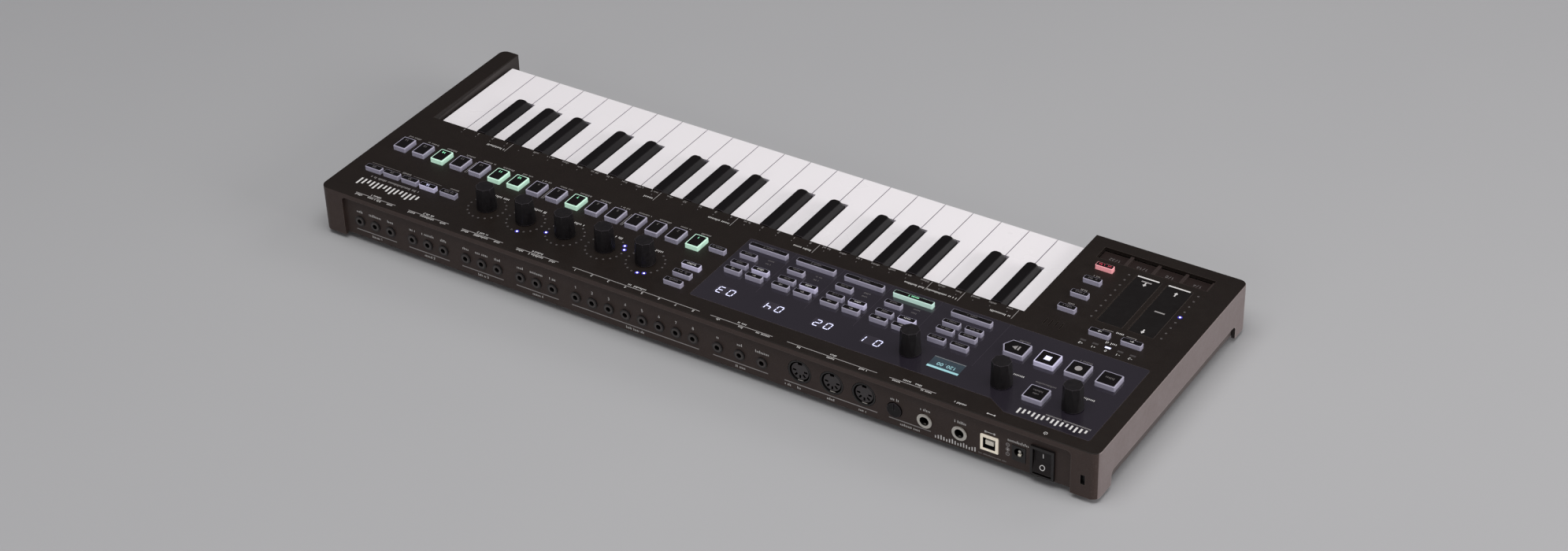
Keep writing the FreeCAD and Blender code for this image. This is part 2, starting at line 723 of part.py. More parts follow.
def make_feet_and_screws():
    feet = []
    for number, (x, y) in enumerate(FOOT_PLACES, start=1):
        feet.append(cylinder(f"foot_{number}", (x, y, 0), FOOT_RADIUS, tray_low))
    keep(cluster("feet_group", feet), "rubber_feet")

    screws = []
    for number, (x, y) in enumerate(SCREW_PLACES, start=1):
        head_low = (x, y, tray_low - SCREW_HEAD_HEIGHT)
        shank_low = (x, y, tray_low - 0.5)
        shank = cylinder(f"screw_shank_{number}", shank_low, dim["screw_radius"], SCREW_LENGTH + 0.5)
        head = cylinder(f"screw_head_{number}", head_low, SCREW_HEAD_RADIUS, SCREW_HEAD_HEIGHT)
        drive = cylinder(f"screw_drive_{number}", head_low, SCREW_DRIVE_RADIUS, 0.9)
        screws.append(cut(f"screw_{number}", fuse(f"screw_blank_{number}", [shank, head]), [drive]))
    keep(cluster("screw_group", screws), "case_screws")


# The controls.

def button_template(name, outline, flange):
    """One button: bevelled cap, straight sides and the flange that holds it under the panel."""
    body = new_body(name)
    face = sketch_on(body, f"{name}_face", "XY_Plane", flange_top - dim["flange_thickness"])
    draw_polygon(face, outline)
    pad(body, f"{name}_cap", face, button_top - flange_top + dim["flange_thickness"])
    round_edges(body, f"{name}_corners", is_upright, dim["button_corner"])

    def is_top(edge):
        edge_box = edge.BoundBox
        return edge_box.ZLength < 0.01 and edge_box.ZMax > button_top.value - 0.01
    round_edges(body, f"{name}_bevel", is_top, dim["button_bevel"], "PartDesign::Chamfer")
    foot = sketch_on(body, f"{name}_foot", "XY_Plane", flange_top - dim["flange_thickness"])
    draw_polygon(foot, flange)
    pad(body, f"{name}_flange", foot, dim["flange_thickness"])
    return body


def plain_button(name, span):
    origin = (0.0, 0.0)
    return button_template(name, centred(origin, span), centred(origin, span, dim["flange_margin"]))


def placed(template, name, centre):
    """A copy of a template moved to its place on the panel."""
    link = doc.addObject("App::Link", name)
    link.LinkedObject = template
    bind(link, "LinkPlacement.Base.x", centre[0])
    bind(link, "LinkPlacement.Base.y", centre[1])
    return link


def make_buttons():
    margin = dim["flange_margin"]
    step = plain_button("step_button", STEP_SIZE)
    transport = plain_button("transport_button", TRANSPORT_SIZE)
    small = plain_button("small_button", SMALL_SIZE)
    wide = plain_button("wide_button", WIDE_SIZE)
    play = button_template("play_button", play_outline(), play_outline(margin))
    others = {
        "menu_button": (MENU_SIZE, MENU_CENTRES), "bar_button": (BAR_SIZE, BAR_CENTRES),
        "octave_button": (OCTAVE_SIZE, OCTAVE_CENTRES), "bay_button": (COLUMN_SIZE, BAY_COLUMN_CENTRES),
    }

    steps = [placed(step, f"step_{place + 1}", (dim["step_pitch"] * place + STEP_FIRST_X, STEP_Y))
             for place in range(int(dim["step_count"].value))]
    keep(cluster("step_button_group", steps), "step_buttons")

    window = [placed(transport, f"transport_{place}", (x, TRANSPORT_Y))
              for place, x in enumerate(TRANSPORT_X)]
    window.append(placed(transport, "tap_tempo", TAP_CENTRE))
    window.append(placed(play, "play", (PLAY_X, TRANSPORT_Y)))
    for place, (centre, span) in enumerate(control_button_places()):
        window.append(placed(wide if span == WIDE_SIZE else small, f"control_{place}", centre))
    for group in range(int(dim["track_count"].value)):
        for place, (centre, span) in enumerate(track_button_places()):
            x = dim["track_pitch"] * group + centre[0]
            template = wide if span == WIDE_SIZE else small
            window.append(placed(template, f"track_{group + 1}_{place}", (x, centre[1])))
    keep(cluster("window_button_group", window), "window_buttons")

    panel = [placed(small, "overview", OVERVIEW_CENTRE)]
    for name, (span, centres) in others.items():
        template = plain_button(name, span)
        panel += [placed(template, f"{name}_{place}", centre)
                  for place, centre in enumerate(centres, start=1)]
    keep(cluster("panel_button_group", panel), "panel_buttons")


KNOB_FLATS = 8
KNOB_CONE_DRAFT = 0.6
OCTAGON_FOOT_EXCESS = 1.015


def make_knob(name, centre):
    """Encoder knob: round at the foot, eight flats towards the top, with its shaft."""
    x, y = size(centre[0]), size(centre[1])
    low = cover_top + dim["knob_gap"]
    cone = doc.addObject("Part::Cone", f"{name}_cone")
    bind(cone, "Radius1", dim["knob_base"] / 2)
    bind(cone, "Radius2", dim["knob_base"] / 2 - KNOB_CONE_DRAFT)
    bind(cone, "Height", dim["knob_height"])
    for letter, value in zip("xyz", (x, y, low)):
        bind(cone, f"Placement.Base.{letter}", value)
    cap = doc.addObject("Part::MultiCommon", f"{name}_cap")
    cap.Shapes = [cone, octagon_taper(name, x, y, low)]
    shaft = cylinder(f"{name}_shaft", (x, y, board_top + 2), dim["shaft_radius"], low - board_top - 1)
    keep(fuse(f"{name}_solid", [cap, shaft]), name)


def octagon_taper(name, x, y, low):
    """Eight-sided taper whose flats only cut the knob's cone above its foot."""
    foot = doc.addObject("Part::RegularPolygon", f"{name}_octagon_foot")
    top = doc.addObject("Part::RegularPolygon", f"{name}_octagon_top")
    spread = 1 / math.cos(math.pi / KNOB_FLATS)
    foot_radius = dim["knob_base"] / 2 * spread * OCTAGON_FOOT_EXCESS
    top_radius = dim["knob_top"] / 2 * spread
    for item, radius, level in ((foot, foot_radius, low), (top, top_radius, low + dim["knob_height"])):
        item.Polygon = KNOB_FLATS
        item.Placement = Placement(Vector(), Rotation(Vector(0, 0, 1), 180 / KNOB_FLATS))
        bind(item, "Circumradius", radius)
        bind(item, "Placement.Base.x", x)
        bind(item, "Placement.Base.y", y)
        bind(item, "Placement.Base.z", level)
    loft = doc.addObject("Part::Loft", f"{name}_octagon")
    loft.Sections = [foot, top]
    loft.Solid = True
    loft.Ruled = True
    return loft


def barrel(name, x, z, radius, depth, proud):
    """Round part along Y, from a depth behind the rear panel's face to a height proud of it."""
    return cylinder(name, (x, rear_face - depth, z), radius, depth + proud, "y")


def slab(name, x, z, span, depth, proud):
    """Rectangular part along Y, from a depth behind the rear panel's face to a height proud of it."""
    low = (x - span[0] / 2, rear_face - depth, z - span[1] / 2)
    return box(name, low, (x + span[0] / 2, rear_face + proud, z + span[1] / 2))


LEVEL_GRIP_RADIUS = 5.0
LEVEL_GRIP_PROUD = 1.0
LEVEL_POINTER = (1.0, 6.0)


def make_level_knob():
    """Small round knob that sits almost flush in the rear panel."""
    grip = barrel("level_grip", LEVEL_X, LEVEL_Z, LEVEL_GRIP_RADIUS, 3.2, LEVEL_GRIP_PROUD)
    shaft = barrel("level_shaft", LEVEL_X, LEVEL_Z, dim["shaft_radius"], 9.0, -2.5)
    pointer = slab("level_pointer", LEVEL_X, LEVEL_Z + LEVEL_POINTER[1] / 2, LEVEL_POINTER, -0.3, 2.0)
    keep(cut("level_knob_solid", fuse("level_blank", [grip, shaft]), [pointer]), "level_knob")


ROCKER_PIVOT_DEPTH = 4.0
ROCKER_TILT = 7.0
ROCKER_WIDTH = 12.0
ROCKER_PIN_RADIUS = 1.0
ROCKER_PIN_REACH = 6.9
ROCKER_PROFILE = (
    (-4.5, -4.5), (2.0, -8.2), (5.1, -8.2), (3.8, 0.0), (5.1, 8.2), (2.0, 8.2), (-4.5, 4.5),
)


def make_power_rocker():
    """Rocker that tips on its two pivot pins; it rests with its upper half pressed in."""
    body = new_body("power_rocker_body")
    profile = sketch_on(body, "rocker_profile", "YZ_Plane", -ROCKER_WIDTH / 2)
    draw_polygon(profile, ROCKER_PROFILE)
    pad(body, "rocker_block", profile, ROCKER_WIDTH)
    pins = sketch_on(body, "rocker_pin_sketch", "YZ_Plane", -ROCKER_PIN_REACH)
    draw_circle(pins, (0.0, 0.0), ROCKER_PIN_RADIUS)
    pad(body, "rocker_pins", pins, 2 * ROCKER_PIN_REACH)
    body.Placement = Placement(
        Vector(ROCKER_X, rear_face.value - ROCKER_PIVOT_DEPTH, POWER_LEVEL),
        Rotation(Vector(1, 0, 0), ROCKER_TILT))
    bind(body, "Placement.Base.y", rear_face - ROCKER_PIVOT_DEPTH)
    keep(body, "power_rocker")


PAD_DEPTH = 3.2
RIB_DROP = 1.2
RIB_WIDTH = 2.2
STRIP_DROP = 0.3
STRIP_GAP = 0.2


def make_touch_strips():
    """Two touch strips and the four-part looper pad, which sense a finger and don't move."""
    strips = []
    for number, (low_x, high_x) in enumerate(TOUCH_STRIPS, start=1):
        low = (low_x + STRIP_GAP, TOUCH_FRONT + STRIP_GAP, board_top)
        high = (high_x - STRIP_GAP, TOUCH_REAR - STRIP_GAP, cover_top - STRIP_DROP)
        strips.append(box(f"touch_strip_{number}", low, high))
    low_x, low_y, high_x, high_y = LOOPER_BOX
    floor_level = cover_top - PAD_DEPTH
    base_low = (low_x + STRIP_GAP, low_y + STRIP_GAP, board_top)
    looper = [box("looper_base", base_low, (high_x - STRIP_GAP, high_y - STRIP_GAP, floor_level))]
    for number, x in enumerate(LOOPER_RIBS, start=1):
        low = (x - RIB_WIDTH / 2, low_y + STRIP_GAP, floor_level - 1)
        high = (x + RIB_WIDTH / 2, high_y - STRIP_GAP, cover_top - RIB_DROP)
        looper.append(box(f"looper_rib_{number}", low, high))
    strips.append(fuse("looper_pad", looper))
    keep(cluster("touch_group", strips), "touch_strips")


# The inside.

# Boards: low and high X and Y of each sheet.
CONTROL_MAIN = ((-283.0, 11.0), (281.0, 86.5))
CONTROL_BAY_FRONT = -90.0
JACK_BOARD = ((-248.0, 68.0), (273.0, 98.0))
CONTACT_BOARD = ((-184.0, -42.0), (279.0, -22.0))
CONTACT_DOME_Y = -34.0
CONTACT_DOME = (2.6, 4.5)
ENCODER_HALF = 6.0
ENCODER_CASE_HEIGHT = 5.5
BUSHING_RADIUS = 3.9
NOTCH_RADIUS = 4.4


def make_circuit_boards():
    """Control board, jack board, key contact board and the encoders' bodies."""
    level = dim["board_level"]
    (low_x, low_y), (high_x, high_y) = CONTROL_MAIN
    main = box("control_board_main", (low_x, low_y, level), (high_x, high_y, board_top))
    bay = box("control_board_bay", (low_x, CONTROL_BAY_FRONT, level), (bay_right - 5, low_y + 1, board_top))
    control = fuse("control_board", [main, bay])
    shaft_gap = dim["shaft_radius"] + dim["running_gap"]
    pieces = [control]
    for name, (x, y) in encoder_centres().items():
        x, y = size(x), size(y)
        case = box(f"{name}_case", (x - ENCODER_HALF, y - ENCODER_HALF, board_top),
                   (x + ENCODER_HALF, y + ENCODER_HALF, board_top + ENCODER_CASE_HEIGHT))
        bushing_height = cover_top - board_top - 5.2
        bushing = cylinder(f"{name}_bushing", (x, y, board_top + 5), BUSHING_RADIUS, bushing_height)
        bore = cylinder(f"{name}_bore", (x, y, board_top + 1.5), shaft_gap, 12)
        pieces.append(cut(f"{name}_encoder", fuse(f"{name}_encoder_blank", [case, bushing]), [bore]))

    jack_low = floor_top + 2.4
    (low_x, low_y), (high_x, high_y) = JACK_BOARD
    jack_top = jack_low + dim["board_thickness"]
    jack = box("jack_board_sheet", (low_x, low_y, jack_low), (high_x, high_y, jack_top))
    notch = cylinder("jack_board_notch", (*SCREW_PLACES[2], jack_low - 1), NOTCH_RADIUS, 4)
    pieces.append(cut("jack_board", jack, [notch]))
    contact_low = floor_top + 2
    contact_top = contact_low + dim["board_thickness"]
    (low_x, low_y), (high_x, high_y) = CONTACT_BOARD
    contacts = box("contact_board", (low_x, low_y, contact_low), (high_x, high_y, contact_top))
    domes = [cylinder(f"contact_dome_{number}", (x, CONTACT_DOME_Y, contact_top), *CONTACT_DOME)
             for number, x in enumerate(key_middles(), start=1)]
    pieces.append(fuse("key_contacts", [contacts] + domes))
    keep(cluster("board_group", pieces), "circuit_boards")


def make_display_modules():
    """Four two-digit displays and the small screen, under the window."""
    top = cover_top - dim["window_thickness"] - 0.1
    modules = []
    for group in range(int(dim["track_count"].value)):
        x = dim["track_pitch"] * group + DISPLAY_FIRST_X
        low = (x - DISPLAY_SIZE[0] / 2, DISPLAY_Y - DISPLAY_SIZE[1] / 2, board_top)
        high = (x + DISPLAY_SIZE[0] / 2, DISPLAY_Y + DISPLAY_SIZE[1] / 2, top)
        modules.append(box(f"track_display_{group + 1}", low, high))
    low_x, low_y, high_x, high_y = SCREEN_BOX
    modules.append(box("small_screen", (low_x - 1, low_y - 1, board_top), (high_x + 1, high_y + 1, top)))
    keep(cluster("display_group", modules), "display_modules")


# Bodies of the sockets: width, depth behind the rear panel's face, height above the jack board.
SOCKET_FOOT = 10.2
CASE_CLEARANCE = 0.1
FERRULE_DEPTH = 3.0
BORE_LEAD = 8.0
MINIJACK_CASE = (9.2, 13.6, 12.4)
MINIJACK_FERRULE_RADIUS = 3.0
MINIJACK_NUT_RADIUS = 3.8
MINIJACK_BORE_RADIUS = 1.8
MINIJACK_BORE_DEPTH = 12.7
PHONE_CASE = (15.0, 28.0, 14.8)
PHONE_FERRULE_RADIUS = 4.8
PHONE_RING_RADIUS = 5.25
PHONE_BORE_RADIUS = 3.2
PHONE_BORE_DEPTH = 26.0
MIDI_CASE = (19.2, 14.0, 19.4)
MIDI_SLEEVE_RADIUS = 8.3
MIDI_GROOVE_RADIUS = 7.3
MIDI_GROOVE_DEPTH = 9.0
MIDI_DISC_RADIUS = 6.2
MIDI_DISC_SET_BACK = 0.8
MIDI_KEY = (3.2, 2.7)
MIDI_KEY_RISE = 5.95
MIDI_SLOTS = 5
MIDI_SLOT_TURN = 45.0
MIDI_SLOT_SIZE = (1.4, 8.0, 2.6)
MIDI_SLOT_REACH = 5.4
MIDI_SLOT_DEPTH = 6.0


def socket_case(name, x, span):
    """Moulded body behind the rear panel."""
    low = (x - span[0] / 2, rear_face - span[1], SOCKET_FOOT)
    return box(name, low, (x + span[0] / 2, inner_rear_face - CASE_CLEARANCE, SOCKET_FOOT + span[2]))


def minijack(number, x):
    """Small jack: body, ferrule and round nut."""
    name = f"minijack_{number}"
    level = dim["socket_level"]
    parts = [
        socket_case(f"{name}_case", x, MINIJACK_CASE),
        barrel(f"{name}_ferrule", x, level, MINIJACK_FERRULE_RADIUS, FERRULE_DEPTH, 1.3),
        barrel(f"{name}_nut", x, level, MINIJACK_NUT_RADIUS, 0.0, 1.1),
    ]
    bore = barrel(f"{name}_bore", x, level, MINIJACK_BORE_RADIUS, MINIJACK_BORE_DEPTH, BORE_LEAD)
    return cut(name, fuse(f"{name}_blank", parts), [bore])


def midi_slot(name, x, turn):
    """One radial contact slot of a round socket."""
    width, depth, length = MIDI_SLOT_SIZE
    corner = turn.multVec(Vector(-width / 2, 0, -MIDI_SLOT_REACH))
    item = doc.addObject("Part::Box", name)
    item.Placement = Placement(Vector(), turn)
    for prop, value in zip(("Length", "Width", "Height"), (width, depth, length)):
        bind(item, prop, value)
    for letter, value in zip("xyz", (corner.x + x, rear_face - MIDI_SLOT_DEPTH, corner.z + MIDI_LEVEL)):
        bind(item, f"Placement.Base.{letter}", value)
    return item


def midi_socket(number, x):
    """Round five-pole socket: a sleeve round an insulating disc with its contact slots."""
    name = f"midi_{number}"
    case = socket_case(f"{name}_case", x, MIDI_CASE)
    sleeve = barrel(f"{name}_sleeve", x, MIDI_LEVEL, MIDI_SLEEVE_RADIUS, FERRULE_DEPTH, 0.0)
    groove = barrel(f"{name}_groove", x, MIDI_LEVEL, MIDI_GROOVE_RADIUS, MIDI_GROOVE_DEPTH, 1.0)
    disc_depth = MIDI_GROOVE_DEPTH + 0.5
    disc = barrel(f"{name}_disc", x, MIDI_LEVEL, MIDI_DISC_RADIUS, disc_depth, -MIDI_DISC_SET_BACK)
    shell = cut(f"{name}_shell", fuse(f"{name}_blank", [case, sleeve]), [groove])
    holes = [slab(f"{name}_key", x, MIDI_LEVEL + MIDI_KEY_RISE, MIDI_KEY, 5.0, 1.0)]
    for place in range(MIDI_SLOTS):
        turn = Rotation(Vector(0, 1, 0), MIDI_SLOT_TURN * (place - MIDI_SLOTS // 2))
        holes.append(midi_slot(f"{name}_slot_{place}", x, turn))
    return cut(name, fuse(f"{name}_with_disc", [shell, disc]), holes)


def phone_socket(number, x):
    """Large jack: body, ferrule and round ring."""
    name = f"phone_{number}"
    parts = [
        socket_case(f"{name}_case", x, PHONE_CASE),
        barrel(f"{name}_ferrule", x, PHONE_LEVEL, PHONE_FERRULE_RADIUS, FERRULE_DEPTH, 1.4),
        barrel(f"{name}_ring", x, PHONE_LEVEL, PHONE_RING_RADIUS, 0.0, 1.2),
    ]
    bore = barrel(f"{name}_bore", x, PHONE_LEVEL, PHONE_BORE_RADIUS, PHONE_BORE_DEPTH, BORE_LEAD)
    return cut(name, fuse(f"{name}_blank", parts), [bore])


def usb_socket():
    shell = slab("usb_shell", USB_X, POWER_LEVEL, (12.2, 11.5), 16.0, 0.6)
    mouth = slab("usb_mouth", USB_X, POWER_LEVEL, (8.5, 7.8), 8.6, 1.0)
    tongue = slab("usb_tongue", USB_X, POWER_LEVEL + 0.3, (5.6, 3.2), 9.0, 0.0)
    return fuse("usb_socket", [cut("usb_hollow", shell, [mouth]), tongue])


def power_inlet():
    """Coaxial power socket with its centre pin."""
    level = POWER_LEVEL + 1
    case = slab("inlet_case", POWER_INLET_X, POWER_LEVEL, (9.2, 11.0), 14.0, 0.3)
    bore = barrel("inlet_bore", POWER_INLET_X, level, 3.15, 9.5, 2.5)
    pin = barrel("inlet_pin", POWER_INLET_X, level, 1.0, 10.0, -1.0)
    return fuse("power_inlet", [cut("inlet_hollow", case, [bore]), pin])


def rocker_frame():
    """Bezel and housing that the power rocker tips in."""
    bezel = slab("rocker_bezel", ROCKER_X, POWER_LEVEL + 0.2, (16.0, 21.6), 0.0, 1.8)
    housing = slab("rocker_housing", ROCKER_X, POWER_LEVEL, (14.4, 20.2), 14.0, 0.6)
    well = slab("rocker_well", ROCKER_X, POWER_LEVEL, (12.7, 18.5), 11.0, 3.0)
    bore_start = (ROCKER_X - 8, rear_face - ROCKER_PIVOT_DEPTH, POWER_LEVEL)
    bore = cylinder("rocker_pin_bore", bore_start, ROCKER_PIN_RADIUS + dim["running_gap"], 16, "x")
    return cut("rocker_frame", fuse("rocker_frame_blank", [bezel, housing]), [well, bore])


def level_control():
    """Body of the volume control behind its knob."""
    case = slab("level_case", LEVEL_X, 16.35, (11.0, 12.3), 14.0, -4.2)
    bore_radius = dim["shaft_radius"] + dim["running_gap"]
    return cut("level_control", case, [barrel("level_bore", LEVEL_X, LEVEL_Z, bore_radius, 10.0, -2.0)])


def make_rear_sockets():
    pieces = [minijack(number, x) for number, x in enumerate(minijack_centres(), start=1)]
    pieces += [midi_socket(number, x) for number, x in enumerate(MIDI_X, start=1)]
    pieces += [phone_socket(number, x) for number, x in enumerate(PHONE_X, start=1)]
    pieces += [usb_socket(), power_inlet(), rocker_frame(), level_control()]
    keep(cluster("socket_group", pieces), "rear_sockets")


# The keys.

OCTAVE = ("c", "c_sharp", "d", "d_sharp", "e", "f", "f_sharp", "g", "g_sharp", "a", "a_sharp", "b")
BLACK_SHIFT = {"c_sharp": -2.4, "d_sharp": 2.2, "f_sharp": -3.5, "g_sharp": 0.0, "a_sharp": 3.0}
KEY_COUNT = 37


def key_names():
    return [OCTAVE[number % len(OCTAVE)] for number in range(KEY_COUNT)]


def white_left(number):
    """Left limit of a white key's place, counted from 0."""
    return dim["white_pitch"] * number + dim["first_key_left"]


def black_middle(note, whites_before):
    return white_left(whites_before) + BLACK_SHIFT[note]


def key_plan():
    """Name, note, white keys before it and the black neighbours' notes, for each key."""
    names = key_names()
    plan = []
    whites = 0
    for number, note in enumerate(names):
        before = names[number - 1] if number else ""
        after = names[number + 1] if number + 1 < KEY_COUNT else ""
        plan.append((f"key_{number + 1:02d}_{note}", note, whites, before, after))
        whites += note not in BLACK_SHIFT
    return plan


def white_rear_limits(whites, before, after):
    """Left and right of a white key's rear part, between its black neighbours."""
    low = white_left(whites) + dim["key_gap"] / 2
    high = white_left(whites + 1) - dim["key_gap"] / 2
    if before in BLACK_SHIFT:
        low = black_middle(before, whites) + dim["black_slot"] / 2
    if after in BLACK_SHIFT:
        high = black_middle(after, whites + 1) - dim["black_slot"] / 2
    return low, high


def key_middles():
    """Middle of every key's rear part along X."""
    middles = []
    for _, note, whites, before, after in key_plan():
        if note in BLACK_SHIFT:
            middles.append(black_middle(note, whites))
        else:
            low, high = white_rear_limits(whites, before, after)
            middles.append((low + high) / 2)
    return middles


STEM_INSET = 1.5
STEM_START = -2.0


def key_stem(name, low_x, high_x):
    """The narrow rear block that turns on the pivot rod."""
    low = (low_x + STEM_INSET, STEM_START, dim["pivot_z"] - 3.5)
    return box(f"{name}_stem", low, (high_x - STEM_INSET, dim["key_rear"], dim["pivot_z"] + 4))


def rod_bore(name, low_x, high_x):
    start = (low_x, dim["pivot_y"], dim["pivot_z"])
    return cylinder(f"{name}_bore", start, dim["rod_radius"] + dim["running_gap"], high_x - low_x, "x")


def make_white_key(name, whites, before, after):
    """Moulded key, hollow from below: wide front, narrow rear part and stem."""
    shell = dim["key_shell"]
    low_x = white_left(whites) + dim["key_gap"] / 2
    high_x = white_left(whites + 1) - dim["key_gap"] / 2
    rear_low, rear_high = white_rear_limits(whites, before, after)
    shelf = dim["white_shelf"]
    head = box(f"{name}_head", (low_x, dim["white_front"], skirt_low), (high_x, shelf, white_top))
    tail = box(f"{name}_tail", (rear_low, shelf - 1, keys_low), (rear_high, -1.0, white_top))
    blank = fuse(f"{name}_blank", [head, tail, key_stem(name, rear_low, rear_high)])
    hollow_front = box(f"{name}_hollow_front", (low_x + shell, dim["white_front"] + shell, skirt_low - 1),
                       (high_x - shell, shelf - shell, white_top - shell))
    hollow_rear = box(f"{name}_hollow_rear", (rear_low + shell, shelf - shell - 1, skirt_low - 1),
                      (rear_high - shell, STEM_START - 1, white_top - shell))
    hollow = fuse(f"{name}_hollow", [hollow_front, hollow_rear])
    solid = cut(f"{name}_moulding", blank, [hollow, rod_bore(name, low_x, high_x)])

    front_y = dim["white_front"].value
    top_z = white_top.value

    def is_front_corner(edge):
        return is_upright(edge) and abs(edge.BoundBox.YMin - front_y) < 0.01

    def is_front_lip(edge):
        edge_box = edge.BoundBox
        at_front = edge_box.YLength < 0.01 and abs(edge_box.YMin - front_y) < 0.01
        return at_front and edge_box.ZMin > top_z - 0.01

    keep(rounded(f"{name}_solid", solid, ((is_front_corner, 1.2), (is_front_lip, 0.8))), name)


def black_cap(name, middle):
    """Tapered raised part: wide foot, narrow top, sloping front."""
    foot_half = dim["black_foot_width"] / 2
    top_half = dim["black_top_width"] / 2
    item = doc.addObject("Part::Wedge", f"{name}_cap")
    item.Placement = Placement(Vector(), Rotation(Vector(1, 0, 0), 90))
    bounds = {
        "Xmin": -foot_half, "Xmax": foot_half, "X2min": -top_half, "X2max": top_half,
        "Ymin": white_top - 0.7, "Ymax": cover_top - 0.1,
        "Zmin": -dim["black_rear"], "Zmax": -dim["black_front"],
        "Z2min": -dim["black_rear"], "Z2max": -dim["black_top_front"],
    }
    for prop, value in bounds.items():
        bind(item, prop, value)
    bind(item, "Placement.Base.x", middle)
    return item


BLACK_LOWER_WIDTH = 8.8
BLACK_LOWER_INSET = 2.5


def make_black_key(name, note, whites):
    """Black key: rounded cap over a moulding that is hollow from below."""
    middle = black_middle(note, whites)
    cap = black_cap(name, middle)
    top_z = (cover_top - 0.1).value
    foot_z = (white_top - 0.7).value

    def is_front_slope(edge):
        edge_box = edge.BoundBox
        tall = edge_box.ZMax > top_z - 0.01 and edge_box.ZMin < foot_z + 0.01
        return tall and edge_box.YMin < dim["black_front"].value + 0.01

    round_cap = rounded(f"{name}_cap_front", cap, ((is_front_slope, 3.0),))

    def is_cap_rim(edge):
        edge_box = edge.BoundBox
        is_rear = edge_box.YMin > dim["black_rear"].value - 0.01
        return edge_box.ZMin > top_z - 0.01 and not is_rear

    soft_cap = rounded(f"{name}_cap_round", round_cap, ((is_cap_rim, 0.6),))
    low_x = middle - BLACK_LOWER_WIDTH / 2
    high_x = middle + BLACK_LOWER_WIDTH / 2
    front_y = dim["black_front"] + BLACK_LOWER_INSET
    lower_top = white_top - 0.4
    lower = box(f"{name}_lower", (low_x, front_y, keys_low), (high_x, -1.0, lower_top))
    blank = fuse(f"{name}_blank", [soft_cap, lower, key_stem(name, low_x, high_x)])
    shell = dim["key_shell"]
    hollow = box(f"{name}_hollow", (low_x + shell, front_y + shell, keys_low - 1),
                 (high_x - shell, STEM_START - 1, lower_top - shell))
    keep(cut(f"{name}_solid", blank, [hollow, rod_bore(name, low_x, high_x)]), name)


def make_keys():
    for name, note, whites, before, after in key_plan():
        if note in BLACK_SHIFT:
            make_black_key(name, note, whites)
        else:
            make_white_key(name, whites, before, after)


ROD_SUPPORTS = (3, 7, 10, 14, 17, 21)
SUPPORT_WIDTH = 1.6
GUIDE_Y = {True: -50.0, False: -78.0}
GUIDE_WIDTH = 3.2
GUIDE_DEPTH = 5.0
GUIDE_TOP = 19.5
KEYBED_DEPTH = (-95.0, 10.4)
FELT_STOP = (-93.5, -85.5, 2.6)


def make_keybed_frame():
    """Chassis of the keybed with its rod, rod supports, key guides and felt stop."""
    low_x = bay_right + 0.3
    high_x = cheek_left - 0.3
    base_top = floor_top + 2
    rod_y = dim["pivot_y"]
    rear_y = KEYBED_DEPTH[1]
    plates = [
        box("keybed_base", (low_x, KEYBED_DEPTH[0], floor_top), (high_x, rear_y, base_top)),
        box("keybed_rear_wall", (low_x, rear_y - SUPPORT_WIDTH, base_top - 1),
            (high_x, rear_y, dim["pivot_z"] + 1)),
        box("keybed_left_plate", (low_x, -6, base_top - 1), (low_x + 1, 9, dim["pivot_z"] + 3)),
        box("keybed_right_plate", (high_x - 1, -6, base_top - 1), (high_x, 9, dim["pivot_z"] + 3)),
    ]
    for number in ROD_SUPPORTS:
        x = white_left(number)
        low = (x - SUPPORT_WIDTH / 2, 0.2, base_top - 1)
        plates.append(box(f"rod_support_{number}", low, (x + SUPPORT_WIDTH / 2, 9, dim["pivot_z"] + 3)))
    for number, ((_, note, whites, _, _), middle) in enumerate(zip(key_plan(), key_middles()), start=1):
        is_black = note in BLACK_SHIFT
        x = middle if is_black else white_left(whites) + dim["white_pitch"] / 2
        y = GUIDE_Y[is_black]
        low = (x - GUIDE_WIDTH / 2, y - GUIDE_DEPTH / 2, base_top - 1)
        high = (x + GUIDE_WIDTH / 2, y + GUIDE_DEPTH / 2, GUIDE_TOP)
        plates.append(box(f"key_guide_{number}", low, high))
    rod_start = (low_x, rod_y, dim["pivot_z"])
    hole = cylinder("rod_hole", rod_start, dim["rod_radius"] + 0.03, high_x - low_x, "x")
    chassis = cut("keybed_chassis", fuse("keybed_plates", plates), [hole])
    rod = cylinder("pivot_rod", rod_start, dim["rod_radius"], high_x - low_x, "x")
    felt_front, felt_rear, felt_height = FELT_STOP
    felt_top = base_top + felt_height
    felt = box("felt_stop", (low_x + 1, felt_front, base_top), (high_x - 1, felt_rear, felt_top))
    keep(cluster("keybed_group", [chassis, rod, felt]), "keybed_frame")


def check_model():
    """Stop if any object failed or any piece is not a valid shape."""
    broken = [item.Name for item in doc.Objects if {"Invalid", "Error"} & set(item.State)]
    if broken:
        raise RuntimeError(f"objects in error: {broken}")
    for item in nodes:
        shape = Part.getShape(item)
        if shape.isNull() or not shape.isValid() or not shape.Solids:
            raise RuntimeError(f"{item.Label} has no valid shape")


def check_knobs():
    """Stop if an encoder's knob doesn't reach its full height."""
    knob_top = (cover_top + dim["knob_gap"] + dim["knob_height"]).value
    knobs = [item for item in nodes if item.Label in encoder_centres()]
    short = [item.Label for item in knobs if abs(Part.getShape(item).BoundBox.ZMax - knob_top) > 0.01]
    if short:
        raise RuntimeError(f"knobs too short: {short}")


def write_steps():
    os.makedirs("parts", exist_ok=True)
    for item in nodes:
        item.Shape.exportStep(os.path.join("parts", f"{item.Label}.step"))
        print(f"{item.Label}: {len(item.Shape.Solids)} solids, {item.Shape.Volume / 1000:.2f} cm3")
    print(f"{len(nodes)} pieces")


def main():
    make_top_cover()
    make_control_window()
    make_bottom_tray()
    make_feet_and_screws()
    make_buttons()
    for name, centre in encoder_centres().items():
        make_knob(name, centre)
    make_level_knob()
    make_power_rocker()
    make_touch_strips()
    make_circuit_boards()
    make_display_modules()
    make_rear_sockets()
    make_keybed_frame()
    make_keys()
    doc.recompute()
    check_model()
    check_knobs()
    write_steps()


main()
